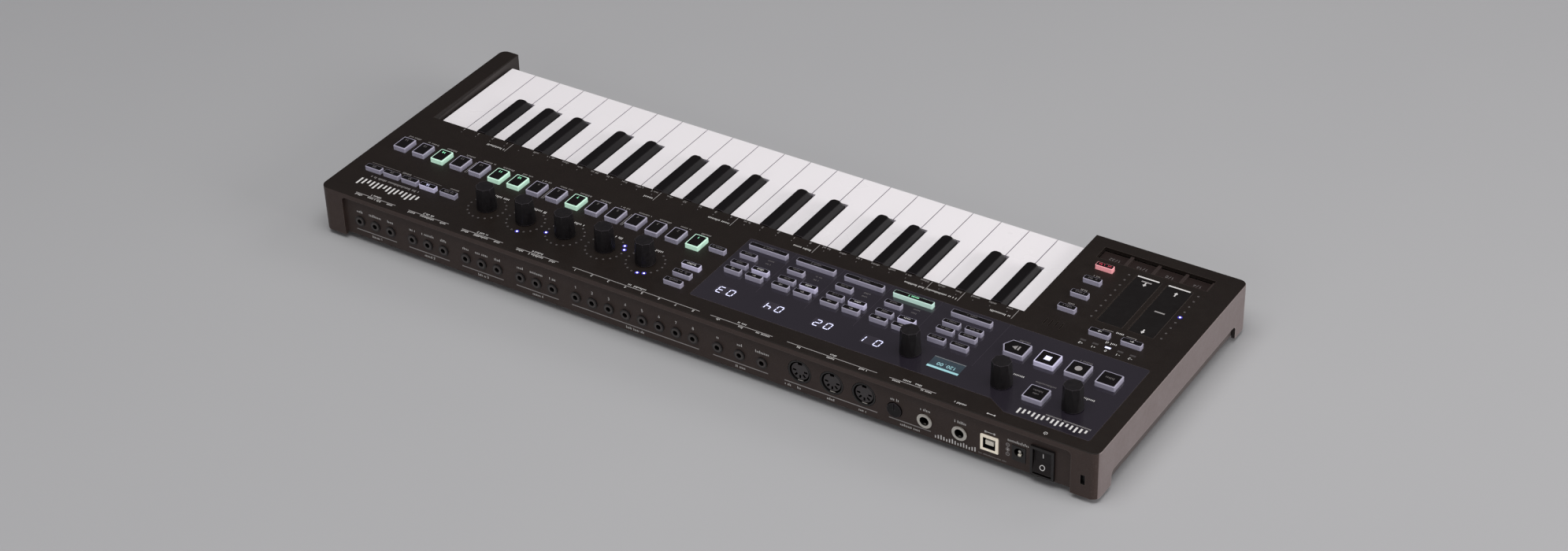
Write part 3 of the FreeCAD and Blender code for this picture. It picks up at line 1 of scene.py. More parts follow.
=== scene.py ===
import math
import random

import bmesh
import bpy
import numpy as np
from mathutils import Matrix, Vector


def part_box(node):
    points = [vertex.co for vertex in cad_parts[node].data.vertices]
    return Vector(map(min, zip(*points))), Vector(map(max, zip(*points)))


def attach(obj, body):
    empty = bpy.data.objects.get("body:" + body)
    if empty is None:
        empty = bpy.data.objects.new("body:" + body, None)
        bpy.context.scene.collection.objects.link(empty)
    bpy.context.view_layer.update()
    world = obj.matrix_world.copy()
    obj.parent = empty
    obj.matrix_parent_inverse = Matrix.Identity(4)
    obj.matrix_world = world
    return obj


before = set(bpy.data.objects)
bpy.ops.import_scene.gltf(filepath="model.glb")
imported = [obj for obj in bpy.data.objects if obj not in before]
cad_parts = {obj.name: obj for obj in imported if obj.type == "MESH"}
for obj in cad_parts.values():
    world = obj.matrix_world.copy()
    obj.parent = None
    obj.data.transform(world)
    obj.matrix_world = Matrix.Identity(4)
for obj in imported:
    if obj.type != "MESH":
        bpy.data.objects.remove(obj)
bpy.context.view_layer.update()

# Looks of the keyboard synthesizer. Places and sizes are millimetres in the part's own frame: +X to the
# player's right, +Y to the rear panel, +Z up. MM turns them into Blender's metres.

MM = 0.001


def limits(node):
    """Lowest and highest corner of a CAD node, in millimetres."""
    low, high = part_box(node)
    return low / MM, high / MM


COVER_LOW, COVER_HIGH = limits("top_cover")
PANEL = COVER_HIGH.z
LEFT = COVER_LOW.x
REAR_LIP = COVER_HIGH.y
REAR_PANEL = limits("bottom_tray")[1].y
CAP = limits("step_buttons")[1].z
STRIP_TOP = limits("touch_strips")[1].z

# Places of the controls.
STEP_PITCH = 16.08
STEP_X = [33.4 + STEP_PITCH * place for place in range(16)]
STEP_Y = 36.0
TRACK_SHIFTS = [36.2 * group for group in range(4)]
COLUMN_SHIFT = 16.15
TRACK_X = -129.4
CONTROL_X = -171.4
ARROW_Y, MODE_Y, MUTE_Y, SELECT_Y = 51.1, 43.4, 32.4, 20.9
CONTROL_ROWS = (51.1, 40.3, 32.4)
TRANSPORT_Y = 36.1
SHIFT_X, RECORD_X, STOP_X, PLAY_X = -267.0, -246.0, -225.0, -204.0
TAP = (-235.5, 70.6)
OVERVIEW = (16.9, 36.2)
MENU = [(21.2, 81.3), (21.2, 70.8), (21.2, 60.3)]
BARS = [(210.0, 70.7), (227.3, 70.7), (242.7, 70.7), (258.2, 70.7), (273.5, 70.7)]
OCTAVE = [(-261.6, -4.8), (-239.4, -4.8)]
BAY_COLUMN = [(-209.3, -18.7), (-209.3, -36.0), (-209.3, -53.4), (-209.3, -70.5)]
STRIPS = [(-269.7, -251.5), (-248.0, -229.7)]
STRIP_FRONT = -75.0
RIB_DEPTH = 3.1
PAD_BOX = (-276.2, -93.2, -198.3, -80.8)
ENCODERS = [limits(f"step_encoder_knob_{number}") for number in range(1, 6)]
ENCODER_CENTRES = [((low.x + high.x) / 2, (low.y + high.y) / 2) for low, high in ENCODERS]
DISPLAY_X = -120.0
DISPLAY_Y = 70.5

# Places of the sockets on the rear panel.
VOICE_X = [[264.1 - 44.7 * group - 13.05 * place for place in range(3)] for group in range(4)]
GATE_X = [85.3 - 13.05 * place for place in range(8)]
CLOCK_X = [-24.7, -41.2, -58.0]
MIDI_X = [-85.5, -108.9, -132.1]
PHONE_X = [-175.7, -200.1]
LEVEL_X, USB_X, INLET_X, ROCKER_X = -154.1, -220.4, -240.5, -256.9
JACK_Z, MIDI_Z, PHONE_Z, POWER_Z = 17.2, 20.1, 17.0, 16.5
LOCK_X, LOCK_Z = -284.7, 16.2


# Materials.

def shade(colour):
    """Linear colour of a display colour given as 0 to 255."""
    return tuple(((value / 255 + 0.055) / 1.055) ** 2.4 for value in colour) + (1.0,)


# A colour mixer's two colour inputs and its colour output; other kinds of value share their names.
MIX_FIRST, MIX_SECOND, MIX_RESULT = 6, 7, 2
# Agreement of the rounded and the face's own normal, from the full edge colour (wear and painted edge light)
# to none.
EDGE_WEAR_AND_LIGHT_RANGE = (0.75, 0.98)
# Softness of a fleck's edge, as a share of the noise's range.
FLECK_EDGE = 0.08


class Finish:
    """A Principled material whose colour, roughness and relief are built from noise in the object's space."""

    def __init__(self, name, colour, roughness, metallic=0.0, specular=0.5):
        self.name = name
        self.material = bpy.data.materials.new(name)
        self.material.use_nodes = True
        self.tree = self.material.node_tree
        self.surface = self.tree.nodes["Principled BSDF"]
        self.place = self.tree.nodes.new("ShaderNodeTexCoord").outputs["Object"]
        self.roughness = roughness
        self.colour = None
        self.normal = None
        self.set(**{"Base Color": shade(colour), "Roughness": roughness, "Metallic": metallic,
                    "Specular IOR Level": specular})

    def set(self, **values):
        for name, value in values.items():
            self.surface.inputs[name].default_value = value
        return self

    def node(self, kind, values=(), **settings):
        item = self.tree.nodes.new(kind)
        for name, value in settings.items():
            setattr(item, name, value)
        for name, value in dict(values).items():
            if isinstance(value, bpy.types.NodeSocket):
                self.tree.links.new(value, item.inputs[name])
            else:
                item.inputs[name].default_value = value
        return item

    def link(self, output, name):
        self.tree.links.new(output, self.surface.inputs[name])

    def noise(self, size, detail=3.0, stretch=(1, 1, 1)):
        """Noise whose features are about size millimetres across."""
        scaled = self.node("ShaderNodeMapping", {"Vector": self.place, "Scale": stretch})
        values = {"Vector": scaled.outputs["Vector"], "Scale": 1 / (size * MM), "Detail": detail}
        return self.node("ShaderNodeTexNoise", values).outputs["Fac"]

    def remap(self, value, low, high, start=0.3, end=0.7):
        values = {"Value": value, "From Min": start, "From Max": end, "To Min": low, "To Max": high}
        return self.node("ShaderNodeMapRange", values).outputs["Result"]

    def mix(self, share, colour):
        """Lay another colour over the base by a share from 0 to 1."""
        mixer = self.node("ShaderNodeMix", data_type="RGBA")
        self.tree.links.new(share, mixer.inputs["Factor"])
        base = mixer.inputs[MIX_FIRST]
        if self.colour is None:
            base.default_value = self.surface.inputs["Base Color"].default_value
        else:
            self.tree.links.new(self.colour, base)
        mixer.inputs[MIX_SECOND].default_value = shade(colour)
        self.colour = mixer.outputs[MIX_RESULT]
        self.link(self.colour, "Base Color")
        return self

    def mottle(self, size, colour, share=0.5):
        """Soft patches of another colour."""
        return self.mix(self.remap(self.noise(size), 0.0, share), colour)

    def flecks(self, size, share, colour, start=0.62):
        """Small separate specks of another colour."""
        return self.mix(self.remap(self.noise(size, 1.0), 0.0, share, start, start + FLECK_EDGE), colour)

    def uneven(self, size, amount):
        """Roughness that varies from place to place."""
        low, high = self.roughness - amount, self.roughness + amount
        self.link(self.remap(self.noise(size), low, high), "Roughness")
        return self

    def grain(self, size, depth, strength=0.5, stretch=(1, 1, 1)):
        """Fine relief of the surface, depth in millimetres."""
        relief = self.noise(size, 2.0, stretch)
        values = {"Height": relief, "Strength": strength, "Distance": depth * MM}
        if self.normal is not None:
            values["Normal"] = self.normal
        self.normal = self.node("ShaderNodeBump", values).outputs["Normal"]
        self.link(self.normal, "Normal")
        return self

    def worn(self, width, share, colour):
        """Rubbed edges and painted edge light: another colour where the rounded normal leaves the face's own
        one; a lighter colour is a painted highlight, a darker one painted shade.
        """
        soft = self.node("ShaderNodeBevel", {"Radius": width * MM}, samples=4).outputs["Normal"]
        own = self.node("ShaderNodeNewGeometry").outputs["Normal"]
        dot = self.node("ShaderNodeVectorMath", {0: soft, 1: own}, operation="DOT_PRODUCT")
        return self.mix(self.remap(dot.outputs["Value"], share, 0.0, *EDGE_WEAR_AND_LIGHT_RANGE), colour)

    def coat(self, weight, roughness):
        return self.set(**{"Coat Weight": weight, "Coat Roughness": roughness})

    def glow(self, colour, strength):
        return self.set(**{"Emission Color": shade(colour), "Emission Strength": strength})


def case_finishes():
    return [
        # In every edge call below, the last colour is painted light along the edges: a lighter one is a
        # painted highlight, partly wear, and the white keys' darker one is painted shade.
        Finish("panel_paint", (25, 19, 16), 0.5, specular=0.22)
        .mottle(22, (31, 25, 21)).flecks(0.45, 0.35, (70, 59, 53)).uneven(6, 0.05)
        .grain(0.5, 0.012).worn(0.5, 0.35, (120, 108, 102)),
        Finish("corner_paint", (64, 50, 45), 0.48, metallic=0.25)
        .mottle(9, (58, 44, 40), 0.4).flecks(0.5, 0.5, (104, 90, 86))
        .flecks(0.4, 0.5, (12, 10, 9), 0.66).uneven(4, 0.06).grain(0.5, 0.02).worn(0.6, 0.4, (150, 138, 132)),
        # Lighter taupe for the cover's side faces: partly their own paint, partly painted light that makes
        # the sides brighter than the top.
        Finish("lit_side_paint", (128, 117, 116), 0.5, metallic=0.2)
        .mottle(18, (116, 104, 102), 0.45).flecks(0.5, 0.4, (160, 150, 148))
        .flecks(0.45, 0.4, (70, 62, 60), 0.66).uneven(5, 0.06).grain(0.5, 0.02)
        .worn(0.7, 0.8, (206, 196, 192)),
        Finish("inside_metal", (58, 52, 50), 0.55, metallic=0.3)
        .mottle(12, (44, 40, 38)).grain(0.8, 0.01),
        Finish("rear_paint", (54, 43, 39), 0.52, specular=0.3)
        .mottle(26, (60, 49, 46)).flecks(0.45, 0.4, (88, 78, 74)).uneven(6, 0.05)
        .grain(0.5, 0.015),
        Finish("tray_paint", (92, 84, 82), 0.55, metallic=0.2)
        .mottle(20, (80, 72, 70)).flecks(0.5, 0.35, (120, 112, 108)).grain(0.5, 0.02),
        Finish("smoked_window", (33, 29, 37), 0.16, specular=0.55)
        .mottle(60, (38, 34, 41)).uneven(30, 0.05).grain(12, 0.02, 0.15)
        .worn(0.35, 0.6, (120, 112, 128)).coat(0.4, 0.05),
        Finish("touch_film", (17, 14, 13), 0.38, specular=0.28)
        .mottle(15, (24, 21, 20), 0.4).uneven(4, 0.06).grain(0.25, 0.006)
        .worn(0.5, 0.7, (110, 98, 92)),
        Finish("pad_rubber", (34, 24, 22), 0.62, specular=0.22)
        .mottle(6, (38, 28, 26)).grain(0.4, 0.02).worn(0.7, 0.4, (92, 80, 76)),
        Finish("pad_rib", (50, 41, 39), 0.55, specular=0.24)
        .mottle(6, (44, 35, 33)).grain(0.4, 0.02).worn(0.4, 0.4, (104, 92, 88)),
        # Unlit button bodies glow faintly: partly a dim backlight, partly painted light that brightens their
        # translucent sides.
        Finish("button_body", (158, 154, 170), 0.4)
        .mottle(3, (142, 138, 154)).uneven(2, 0.08).grain(0.3, 0.006).coat(0.2, 0.25)
        .glow((190, 186, 212), 0.09),
        Finish("button_cap", (11, 8, 9), 0.42, specular=0.2)
        .mottle(2.5, (14, 11, 12)).uneven(1.5, 0.08).grain(0.25, 0.004),
        Finish("knob_rubber", (15, 12, 14), 0.52, specular=0.3)
        .mottle(4, (23, 19, 21)).uneven(2, 0.1).grain(0.3, 0.012)
        .worn(0.35, 0.75, (112, 104, 112)),
        Finish("white_key", (240, 236, 238), 0.28)
        .mottle(60, (238, 234, 236), 0.4).uneven(60, 0.015).grain(1.2, 0.001, 0.1).coat(0.2, 0.12)
        .worn(0.5, 0.3, (205, 198, 206)),
        Finish("key_shadow", (206, 200, 208), 0.4)
        .mottle(8, (190, 184, 194)).grain(1.0, 0.006),
        Finish("black_key", (10, 7, 8), 0.36, specular=0.2)
        .mottle(12, (13, 10, 11)).uneven(14, 0.04).grain(0.5, 0.002, 0.2)
        .worn(0.5, 0.7, (120, 112, 118)).coat(0.06, 0.2),
        Finish("foot_rubber", (34, 32, 32), 0.8)
        .mottle(3, (46, 44, 43), 0.6).grain(0.4, 0.04),
        Finish("screw_steel", (96, 94, 96), 0.35, metallic=0.9)
        .mottle(0.8, (60, 58, 60)).grain(0.2, 0.006, stretch=(1, 6, 1)),
        Finish("laminate", (28, 78, 52), 0.4)
        .mottle(3, (22, 60, 42)).flecks(0.8, 0.9, (196, 170, 96), 0.68).grain(0.6, 0.02),
        Finish("keybed_plastic", (38, 36, 37), 0.55)
        .mottle(10, (28, 27, 28)).grain(0.5, 0.02),
        Finish("display_glass", (18, 17, 22), 0.12)
        .mottle(4, (26, 24, 32)).uneven(3, 0.04).grain(2, 0.004, 0.2),
    ]


def socket_finishes():
    return [
        # In every edge call below, the last colour is a painted highlight along the edges, partly wear.
        Finish("socket_black", (26, 23, 23), 0.42)
        .mottle(2, (18, 16, 16)).uneven(1.5, 0.08).grain(0.3, 0.008)
        .worn(0.3, 0.5, (86, 80, 78)),
        Finish("socket_grey", (66, 60, 59), 0.36)
        .mottle(1.5, (54, 48, 47)).uneven(1, 0.08).grain(0.3, 0.006)
        .worn(0.25, 0.5, (120, 112, 108)),
        Finish("socket_dark", (9, 7, 7), 0.5)
        .mottle(1.5, (16, 13, 12), 0.6).grain(0.4, 0.01),
        Finish("socket_disc", (60, 55, 56), 0.42)
        .mottle(2, (50, 46, 47)).grain(0.3, 0.008).worn(0.3, 0.5, (112, 104, 104)),
        Finish("chrome", (226, 222, 214), 0.14, metallic=1.0)
        .mottle(3, (196, 190, 180)).uneven(2, 0.06).grain(0.4, 0.003),
        # The data socket's shell: pale cream with a faint glow, painted light on its metal.
        Finish("tinned_shell_painted_light", (246, 238, 222), 0.32)
        .mottle(3, (234, 224, 206)).glow((200, 188, 170), 0.3).uneven(2, 0.08)
        .grain(0.5, 0.006).worn(0.35, 0.6, (246, 240, 228)),
        Finish("tongue_plastic", (238, 232, 218), 0.4)
        .mottle(2, (222, 214, 198)).grain(0.3, 0.006),
        Finish("rocker_plastic", (26, 21, 21), 0.42, specular=0.26)
        .mottle(5, (29, 25, 26)).uneven(2, 0.08).grain(0.3, 0.006)
        .worn(0.4, 0.5, (98, 92, 92)),
    ]


def mark_finishes():
    """Inks, lamps and the lit parts of the displays."""

    def ink(name, colour):
        return Finish(name, colour, 0.55).mottle(1.2, (150, 146, 144), 0.35).grain(0.2, 0.003)

    def lamp(name, colour, deep, strength):
        return Finish(name, colour, 0.35).mottle(2.5, deep).grain(0.4, 0.003).glow(colour, strength)

    return [
        ink("white_ink", (222, 220, 218)),
        ink("grey_ink", (146, 142, 141)),
        ink("dim_ink", (92, 87, 88)),
        Finish("line_ink", (52, 47, 55), 0.3)
        .mottle(4, (60, 54, 62)).grain(0.3, 0.003),
        lamp("green_ink", (150, 240, 190), (120, 210, 160), 0.9),
        lamp("green_lamp", (172, 208, 188), (190, 218, 204), 0.56),
        lamp("track_lamp", (176, 208, 196), (194, 208, 206), 0.46),
        lamp("white_lamp", (176, 172, 196), (196, 192, 214), 0.34),
        lamp("red_lamp", (218, 144, 150), (226, 166, 170), 0.46),
        lamp("red_ink", (214, 70, 90), (190, 60, 80), 0.3),
        lamp("led_lit", (214, 220, 255), (235, 238, 255), 3.0),
        lamp("led_halo", (52, 44, 150), (70, 62, 190), 0.45),
        Finish("led_dark", (74, 70, 70), 0.3)
        .mottle(0.5, (40, 37, 37), 0.6).grain(0.2, 0.01),
        lamp("segment_glow", (206, 208, 240), (224, 224, 250), 0.75),
        Finish("display_back", (50, 46, 54), 0.2)
        .mottle(3, (56, 52, 60)).grain(0.5, 0.003),
        lamp("screen_glow", (44, 54, 62), (58, 72, 80), 0.25),
        lamp("screen_bright", (132, 176, 182), (156, 194, 198), 0.5),
    ]


FINISHES = case_finishes() + socket_finishes() + mark_finishes()
FINISH = {finish.name: finish.material for finish in FINISHES}


# Finishes of the CAD pieces, face by face.

def faces(node):
    """Middle in millimetres and normal of every face of a CAD node."""
    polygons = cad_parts[node].data.polygons
    middles = np.zeros(len(polygons) * 3)
    normals = np.zeros(len(polygons) * 3)
    polygons.foreach_get("center", middles)
    polygons.foreach_get("normal", normals)
    return middles.reshape(-1, 3) / MM, normals.reshape(-1, 3)


def paint(node, ground, *coats):
    """Give a CAD node its ground finish, then each coat's finish on the faces that the coat names."""
    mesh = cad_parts[node].data
    mesh.materials.clear()
    mesh.materials.append(FINISH[ground])
    index = np.zeros(len(mesh.polygons), dtype=np.int32)
    for number, (name, chosen) in enumerate(coats, start=1):
        mesh.materials.append(FINISH[name])
        index[chosen] = number
    mesh.polygons.foreach_set("material_index", index)


# Depths of the painted zones, measured in from the cover's outer faces.
TOP_ZONE, SIDE_ZONE, REAR_ZONE, FRONT_ZONE = 4.2, 0.8, 2.6, 0.5
TOP_EDGE = 0.4
LOCK_HALF_WIDTH, LOCK_HALF_HEIGHT, LOCK_DEPTH = 1.7, 3.7, 6.0


def paint_cover():
    middles, normals = faces("top_cover")
    x, y, z = middles.T
    facing_x, facing_y = np.abs(normals[:, 0]) > 0.5, np.abs(normals[:, 1]) > 0.5
    upper = z > PANEL - TOP_ZONE
    # The side faces get the lighter side finish: partly the sides' paint, partly painted light.
    side = (np.abs(x) > -LEFT - SIDE_ZONE) & facing_x
    rear = (y > REAR_LIP - REAR_ZONE) & (z < PANEL - TOP_EDGE)
    hidden = ~upper & ~side & ~rear & (y > COVER_LOW.y + FRONT_ZONE)
    # The lock slot's inner faces get the near-black socket finish: painted shade inside the slot.
    slot = (np.abs(x - LOCK_X) < LOCK_HALF_WIDTH) & (np.abs(z - LOCK_Z) < LOCK_HALF_HEIGHT)
    slot &= (y > REAR_LIP - LOCK_DEPTH) & ~facing_y
    paint("top_cover", "panel_paint", ("inside_metal", hidden), ("corner_paint", rear),
          ("lit_side_paint", side), ("socket_dark", slot))


def paint_tray():
    middles, normals = faces("bottom_tray")
    rear = (middles[:, 1] > REAR_PANEL - 0.05) & (normals[:, 1] > 0.9)
    paint("bottom_tray", "tray_paint", ("rear_paint", rear))


# Width and depth of the buttons' caps.
STEP_SPAN = (10.2, 13.4)
BLOCK_SPAN = (13.8, 13.6)
SMALL_SPAN = (12.2, 4.3)
WIDE_SPAN = (28.7, 4.3)
MENU_SPAN = (13.6, 4.5)
BAR_SPAN = (13.0, 4.6)
OCTAVE_SPAN = (14.2, 4.6)
COLUMN_SPAN = (12.3, 4.5)
PLAY_SHOULDER, PLAY_TIP = 6.5, 10.2
LIT_STEPS = (1, 7, 10, 11, 14)
LIT_BAR = 1
TRACK_MIDDLE = TRACK_X + COLUMN_SHIFT / 2
FLANGE = 1.0


def near(middles, centre, span):
    """Faces of the button at a centre, its flange included."""
    inside_x = np.abs(middles[:, 0] - centre[0]) < span[0] / 2 + FLANGE
    inside_y = np.abs(middles[:, 1] - centre[1]) < span[1] / 2 + FLANGE
    return inside_x & inside_y


def paint_buttons():
    """Translucent bodies, some of them lit."""
    lit = {
        "step_buttons": [("green_lamp", (STEP_X[step - 1], STEP_Y), STEP_SPAN) for step in LIT_STEPS],
        "window_buttons": [("white_lamp", (TRACK_X + shift, MODE_Y), SMALL_SPAN) for shift in TRACK_SHIFTS]
        + [("white_lamp", (STOP_X, TRANSPORT_Y), BLOCK_SPAN),
           ("track_lamp", (TRACK_MIDDLE, SELECT_Y), WIDE_SPAN)],
        "panel_buttons": [("white_lamp", MENU[2], MENU_SPAN), ("white_lamp", BARS[LIT_BAR], MENU_SPAN),
                          ("red_lamp", BAY_COLUMN[3], MENU_SPAN)],
    }
    for node, lamps in lit.items():
        middles, _ = faces(node)
        paint(node, "button_body", *[(lamp, near(middles, centre, span)) for lamp, centre, span in lamps])


# Radii that part a round socket's finishes, and half sizes of the square data socket's parts.
JACK_RING, JACK_BORE = 3.05, 1.9
PHONE_RING, PHONE_BORE = 5.4, 3.3
MIDI_DISC, MIDI_WELL = 6.25, 7.35
INLET_BORE, INLET_PIN, INLET_Z = 3.2, 1.05, POWER_Z + 1
SHELL_HALF, SHELL_DEPTH = 6.3, 9.0
TONGUE_HALF, TONGUE_Z = (2.9, 1.7), POWER_Z + 0.3
WELL_HALF = (4.3, 3.95)


def paint_sockets():
    """Rings, bores, shells and contacts of the rear sockets."""
    middles, normals = faces("rear_sockets")
    x, y, z = middles.T
    outside = y > REAR_PANEL - 0.02
    grey, dark, chrome, disc = (np.zeros(len(x), bool) for _ in range(4))
    for centre in sum(VOICE_X, []) + GATE_X + CLOCK_X:
        radius = np.hypot(x - centre, z - JACK_Z)
        grey |= outside & (radius < JACK_RING)
        dark |= radius < JACK_BORE
    for centre in PHONE_X:
        radius = np.hypot(x - centre, z - PHONE_Z)
        chrome |= outside & (radius < PHONE_RING)
        dark |= radius < PHONE_BORE
    for centre in MIDI_X:
        radius = np.hypot(x - centre, z - MIDI_Z)
        disc |= (radius < MIDI_DISC) & (normals[:, 1] > 0.9) & (y > REAR_PANEL - 1)
        dark |= (radius < MIDI_WELL) & ~disc
    from_usb = np.abs(x - USB_X)
    shell = (from_usb < SHELL_HALF) & (y > REAR_PANEL - SHELL_DEPTH)
    tongue = shell & (from_usb < TONGUE_HALF[0]) & (np.abs(z - TONGUE_Z) < TONGUE_HALF[1])
    # The mouth inside the data socket's shell is near black: partly the socket's dark inside, partly painted
    # shade on the shell's inner walls.
    well = shell & (from_usb < WELL_HALF[0]) & (np.abs(z - POWER_Z) < WELL_HALF[1]) & ~tongue
    radius = np.hypot(x - INLET_X, z - INLET_Z)
    bore = (radius < INLET_BORE) & (y < REAR_PANEL + 0.2)
    pin = radius < INLET_PIN
    paint("rear_sockets", "socket_black", ("socket_grey", grey), ("tinned_shell_painted_light", shell),
          ("socket_dark", (dark & ~chrome) | well | bore), ("chrome", (chrome & ~dark) | pin),
          ("socket_disc", disc), ("tongue_plastic", tongue))


KEY_EDGE = 1.5


def paint_keys():
    """White keys get painted shade on the faces below the top and behind the front."""
    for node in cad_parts:
        if not node.startswith("key_"):
            continue
        if node.endswith("sharp"):
            paint(node, "black_key")
            continue
        middles, _ = faces(node)
        low, high = limits(node)
        below = (middles[:, 2] < high.z - KEY_EDGE) & (middles[:, 1] > low.y + KEY_EDGE)
        paint(node, "white_key", ("key_shadow", below))


def paint_strips():
    """Film on the strips, rubber on the looper pad in front of them and paler ribs on the pad."""
    middles, _ = faces("touch_strips")
    pad = middles[:, 1] < STRIP_FRONT - 2
    rib = pad & (middles[:, 2] > PANEL - RIB_DEPTH)
    paint("touch_strips", "touch_film", ("pad_rubber", pad), ("pad_rib", rib))


def paint_cad():
    paint_cover()
    paint_tray()
    paint_buttons()
    paint_sockets()
    paint_keys()
    paint_strips()
    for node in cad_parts:
        if "knob" in node:
            paint(node, "knob_rubber")
    plain = {
        "control_window": "smoked_window", "rubber_feet": "foot_rubber", "case_screws": "screw_steel",
        "circuit_boards": "laminate", "display_modules": "display_glass", "keybed_frame": "keybed_plastic",
        "power_rocker": "rocker_plastic",
    }
    for node, finish in plain.items():
        paint(node, finish)


# Printed and glowing marks.

def bow(centre, radii, start, end, count=10):
    """Points along an elliptical arc, angles in degrees."""
    turns = [math.radians(start + (end - start) * step / count) for step in range(count + 1)]
    return [(centre[0] + radii[0] * math.cos(turn), centre[1] + radii[1] * math.sin(turn)) for turn in turns]


# Strokes of the figures, each figure one unit high and about 0.6 wide.
FIGURES = {
    "0": [bow((0.3, 0.5), (0.26, 0.45), 90, 450, 14)],
    "1": [[(0.12, 0.72), (0.34, 0.95), (0.34, 0.05)]],
    "2": [bow((0.3, 0.68), (0.25, 0.27), 165, -35) + [(0.06, 0.06), (0.56, 0.06)]],
    "3": [bow((0.28, 0.72), (0.24, 0.23), 150, -85, 8) + bow((0.28, 0.28), (0.27, 0.23), 85, -150, 8)],
    "4": [[(0.44, 0.05), (0.44, 0.95), (0.05, 0.3), (0.58, 0.3)]],
    "5": [[(0.52, 0.95), (0.12, 0.95), (0.1, 0.55)] + bow((0.28, 0.33), (0.26, 0.28), 95, -150)],
    "6": [[(0.46, 0.95), (0.1, 0.5)], bow((0.3, 0.31), (0.25, 0.26), 90, 450, 12)],
    "7": [[(0.05, 0.95), (0.55, 0.95), (0.22, 0.05)]],
    "8": [bow((0.3, 0.72), (0.21, 0.22), 90, 450, 12), bow((0.3, 0.28), (0.25, 0.24), 90, 450, 12)],
    "9": [bow((0.3, 0.69), (0.25, 0.26), 90, 450, 12), [(0.5, 0.5), (0.14, 0.05)]],
    "-": [[(0.08, 0.5), (0.52, 0.5)]],
    "+": [[(0.04, 0.5), (0.56, 0.5)], [(0.3, 0.24), (0.3, 0.76)]],
    "/": [[(0.1, 0.0), (0.5, 1.0)]],
    ".": [[(0.26, 0.05), (0.36, 0.05)]],
}
FIGURE_PITCH, FIGURE_WIDTH, FIGURE_STROKE = 0.78, 0.6, 0.15
SAME_PLACE = 1e-6
# Dashes that stand for a word: pitch and width as shares of the height and the pitch, and their heights.
DASH_PITCH, DASH_WIDTH = 0.5, 0.42
DASH_HEIGHTS = (0.62, 0.62, 0.7, 0.95)
DASH_GAPS = 0.1
PRINT_DRAWS = random.Random(37)


def add_object(name, data):
    made = bpy.data.objects.new(name, data)
    bpy.context.scene.collection.objects.link(made)
    return made


def add_piece(name, mesh, body, finishes):
    """Turn a mesh into a named piece that rides on a body."""
    data = bpy.data.meshes.new(name)
    mesh.to_mesh(data)
    mesh.free()
    for finish in finishes:
        data.materials.append(FINISH[finish])
    piece = add_object(name, data)
    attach(piece, body)


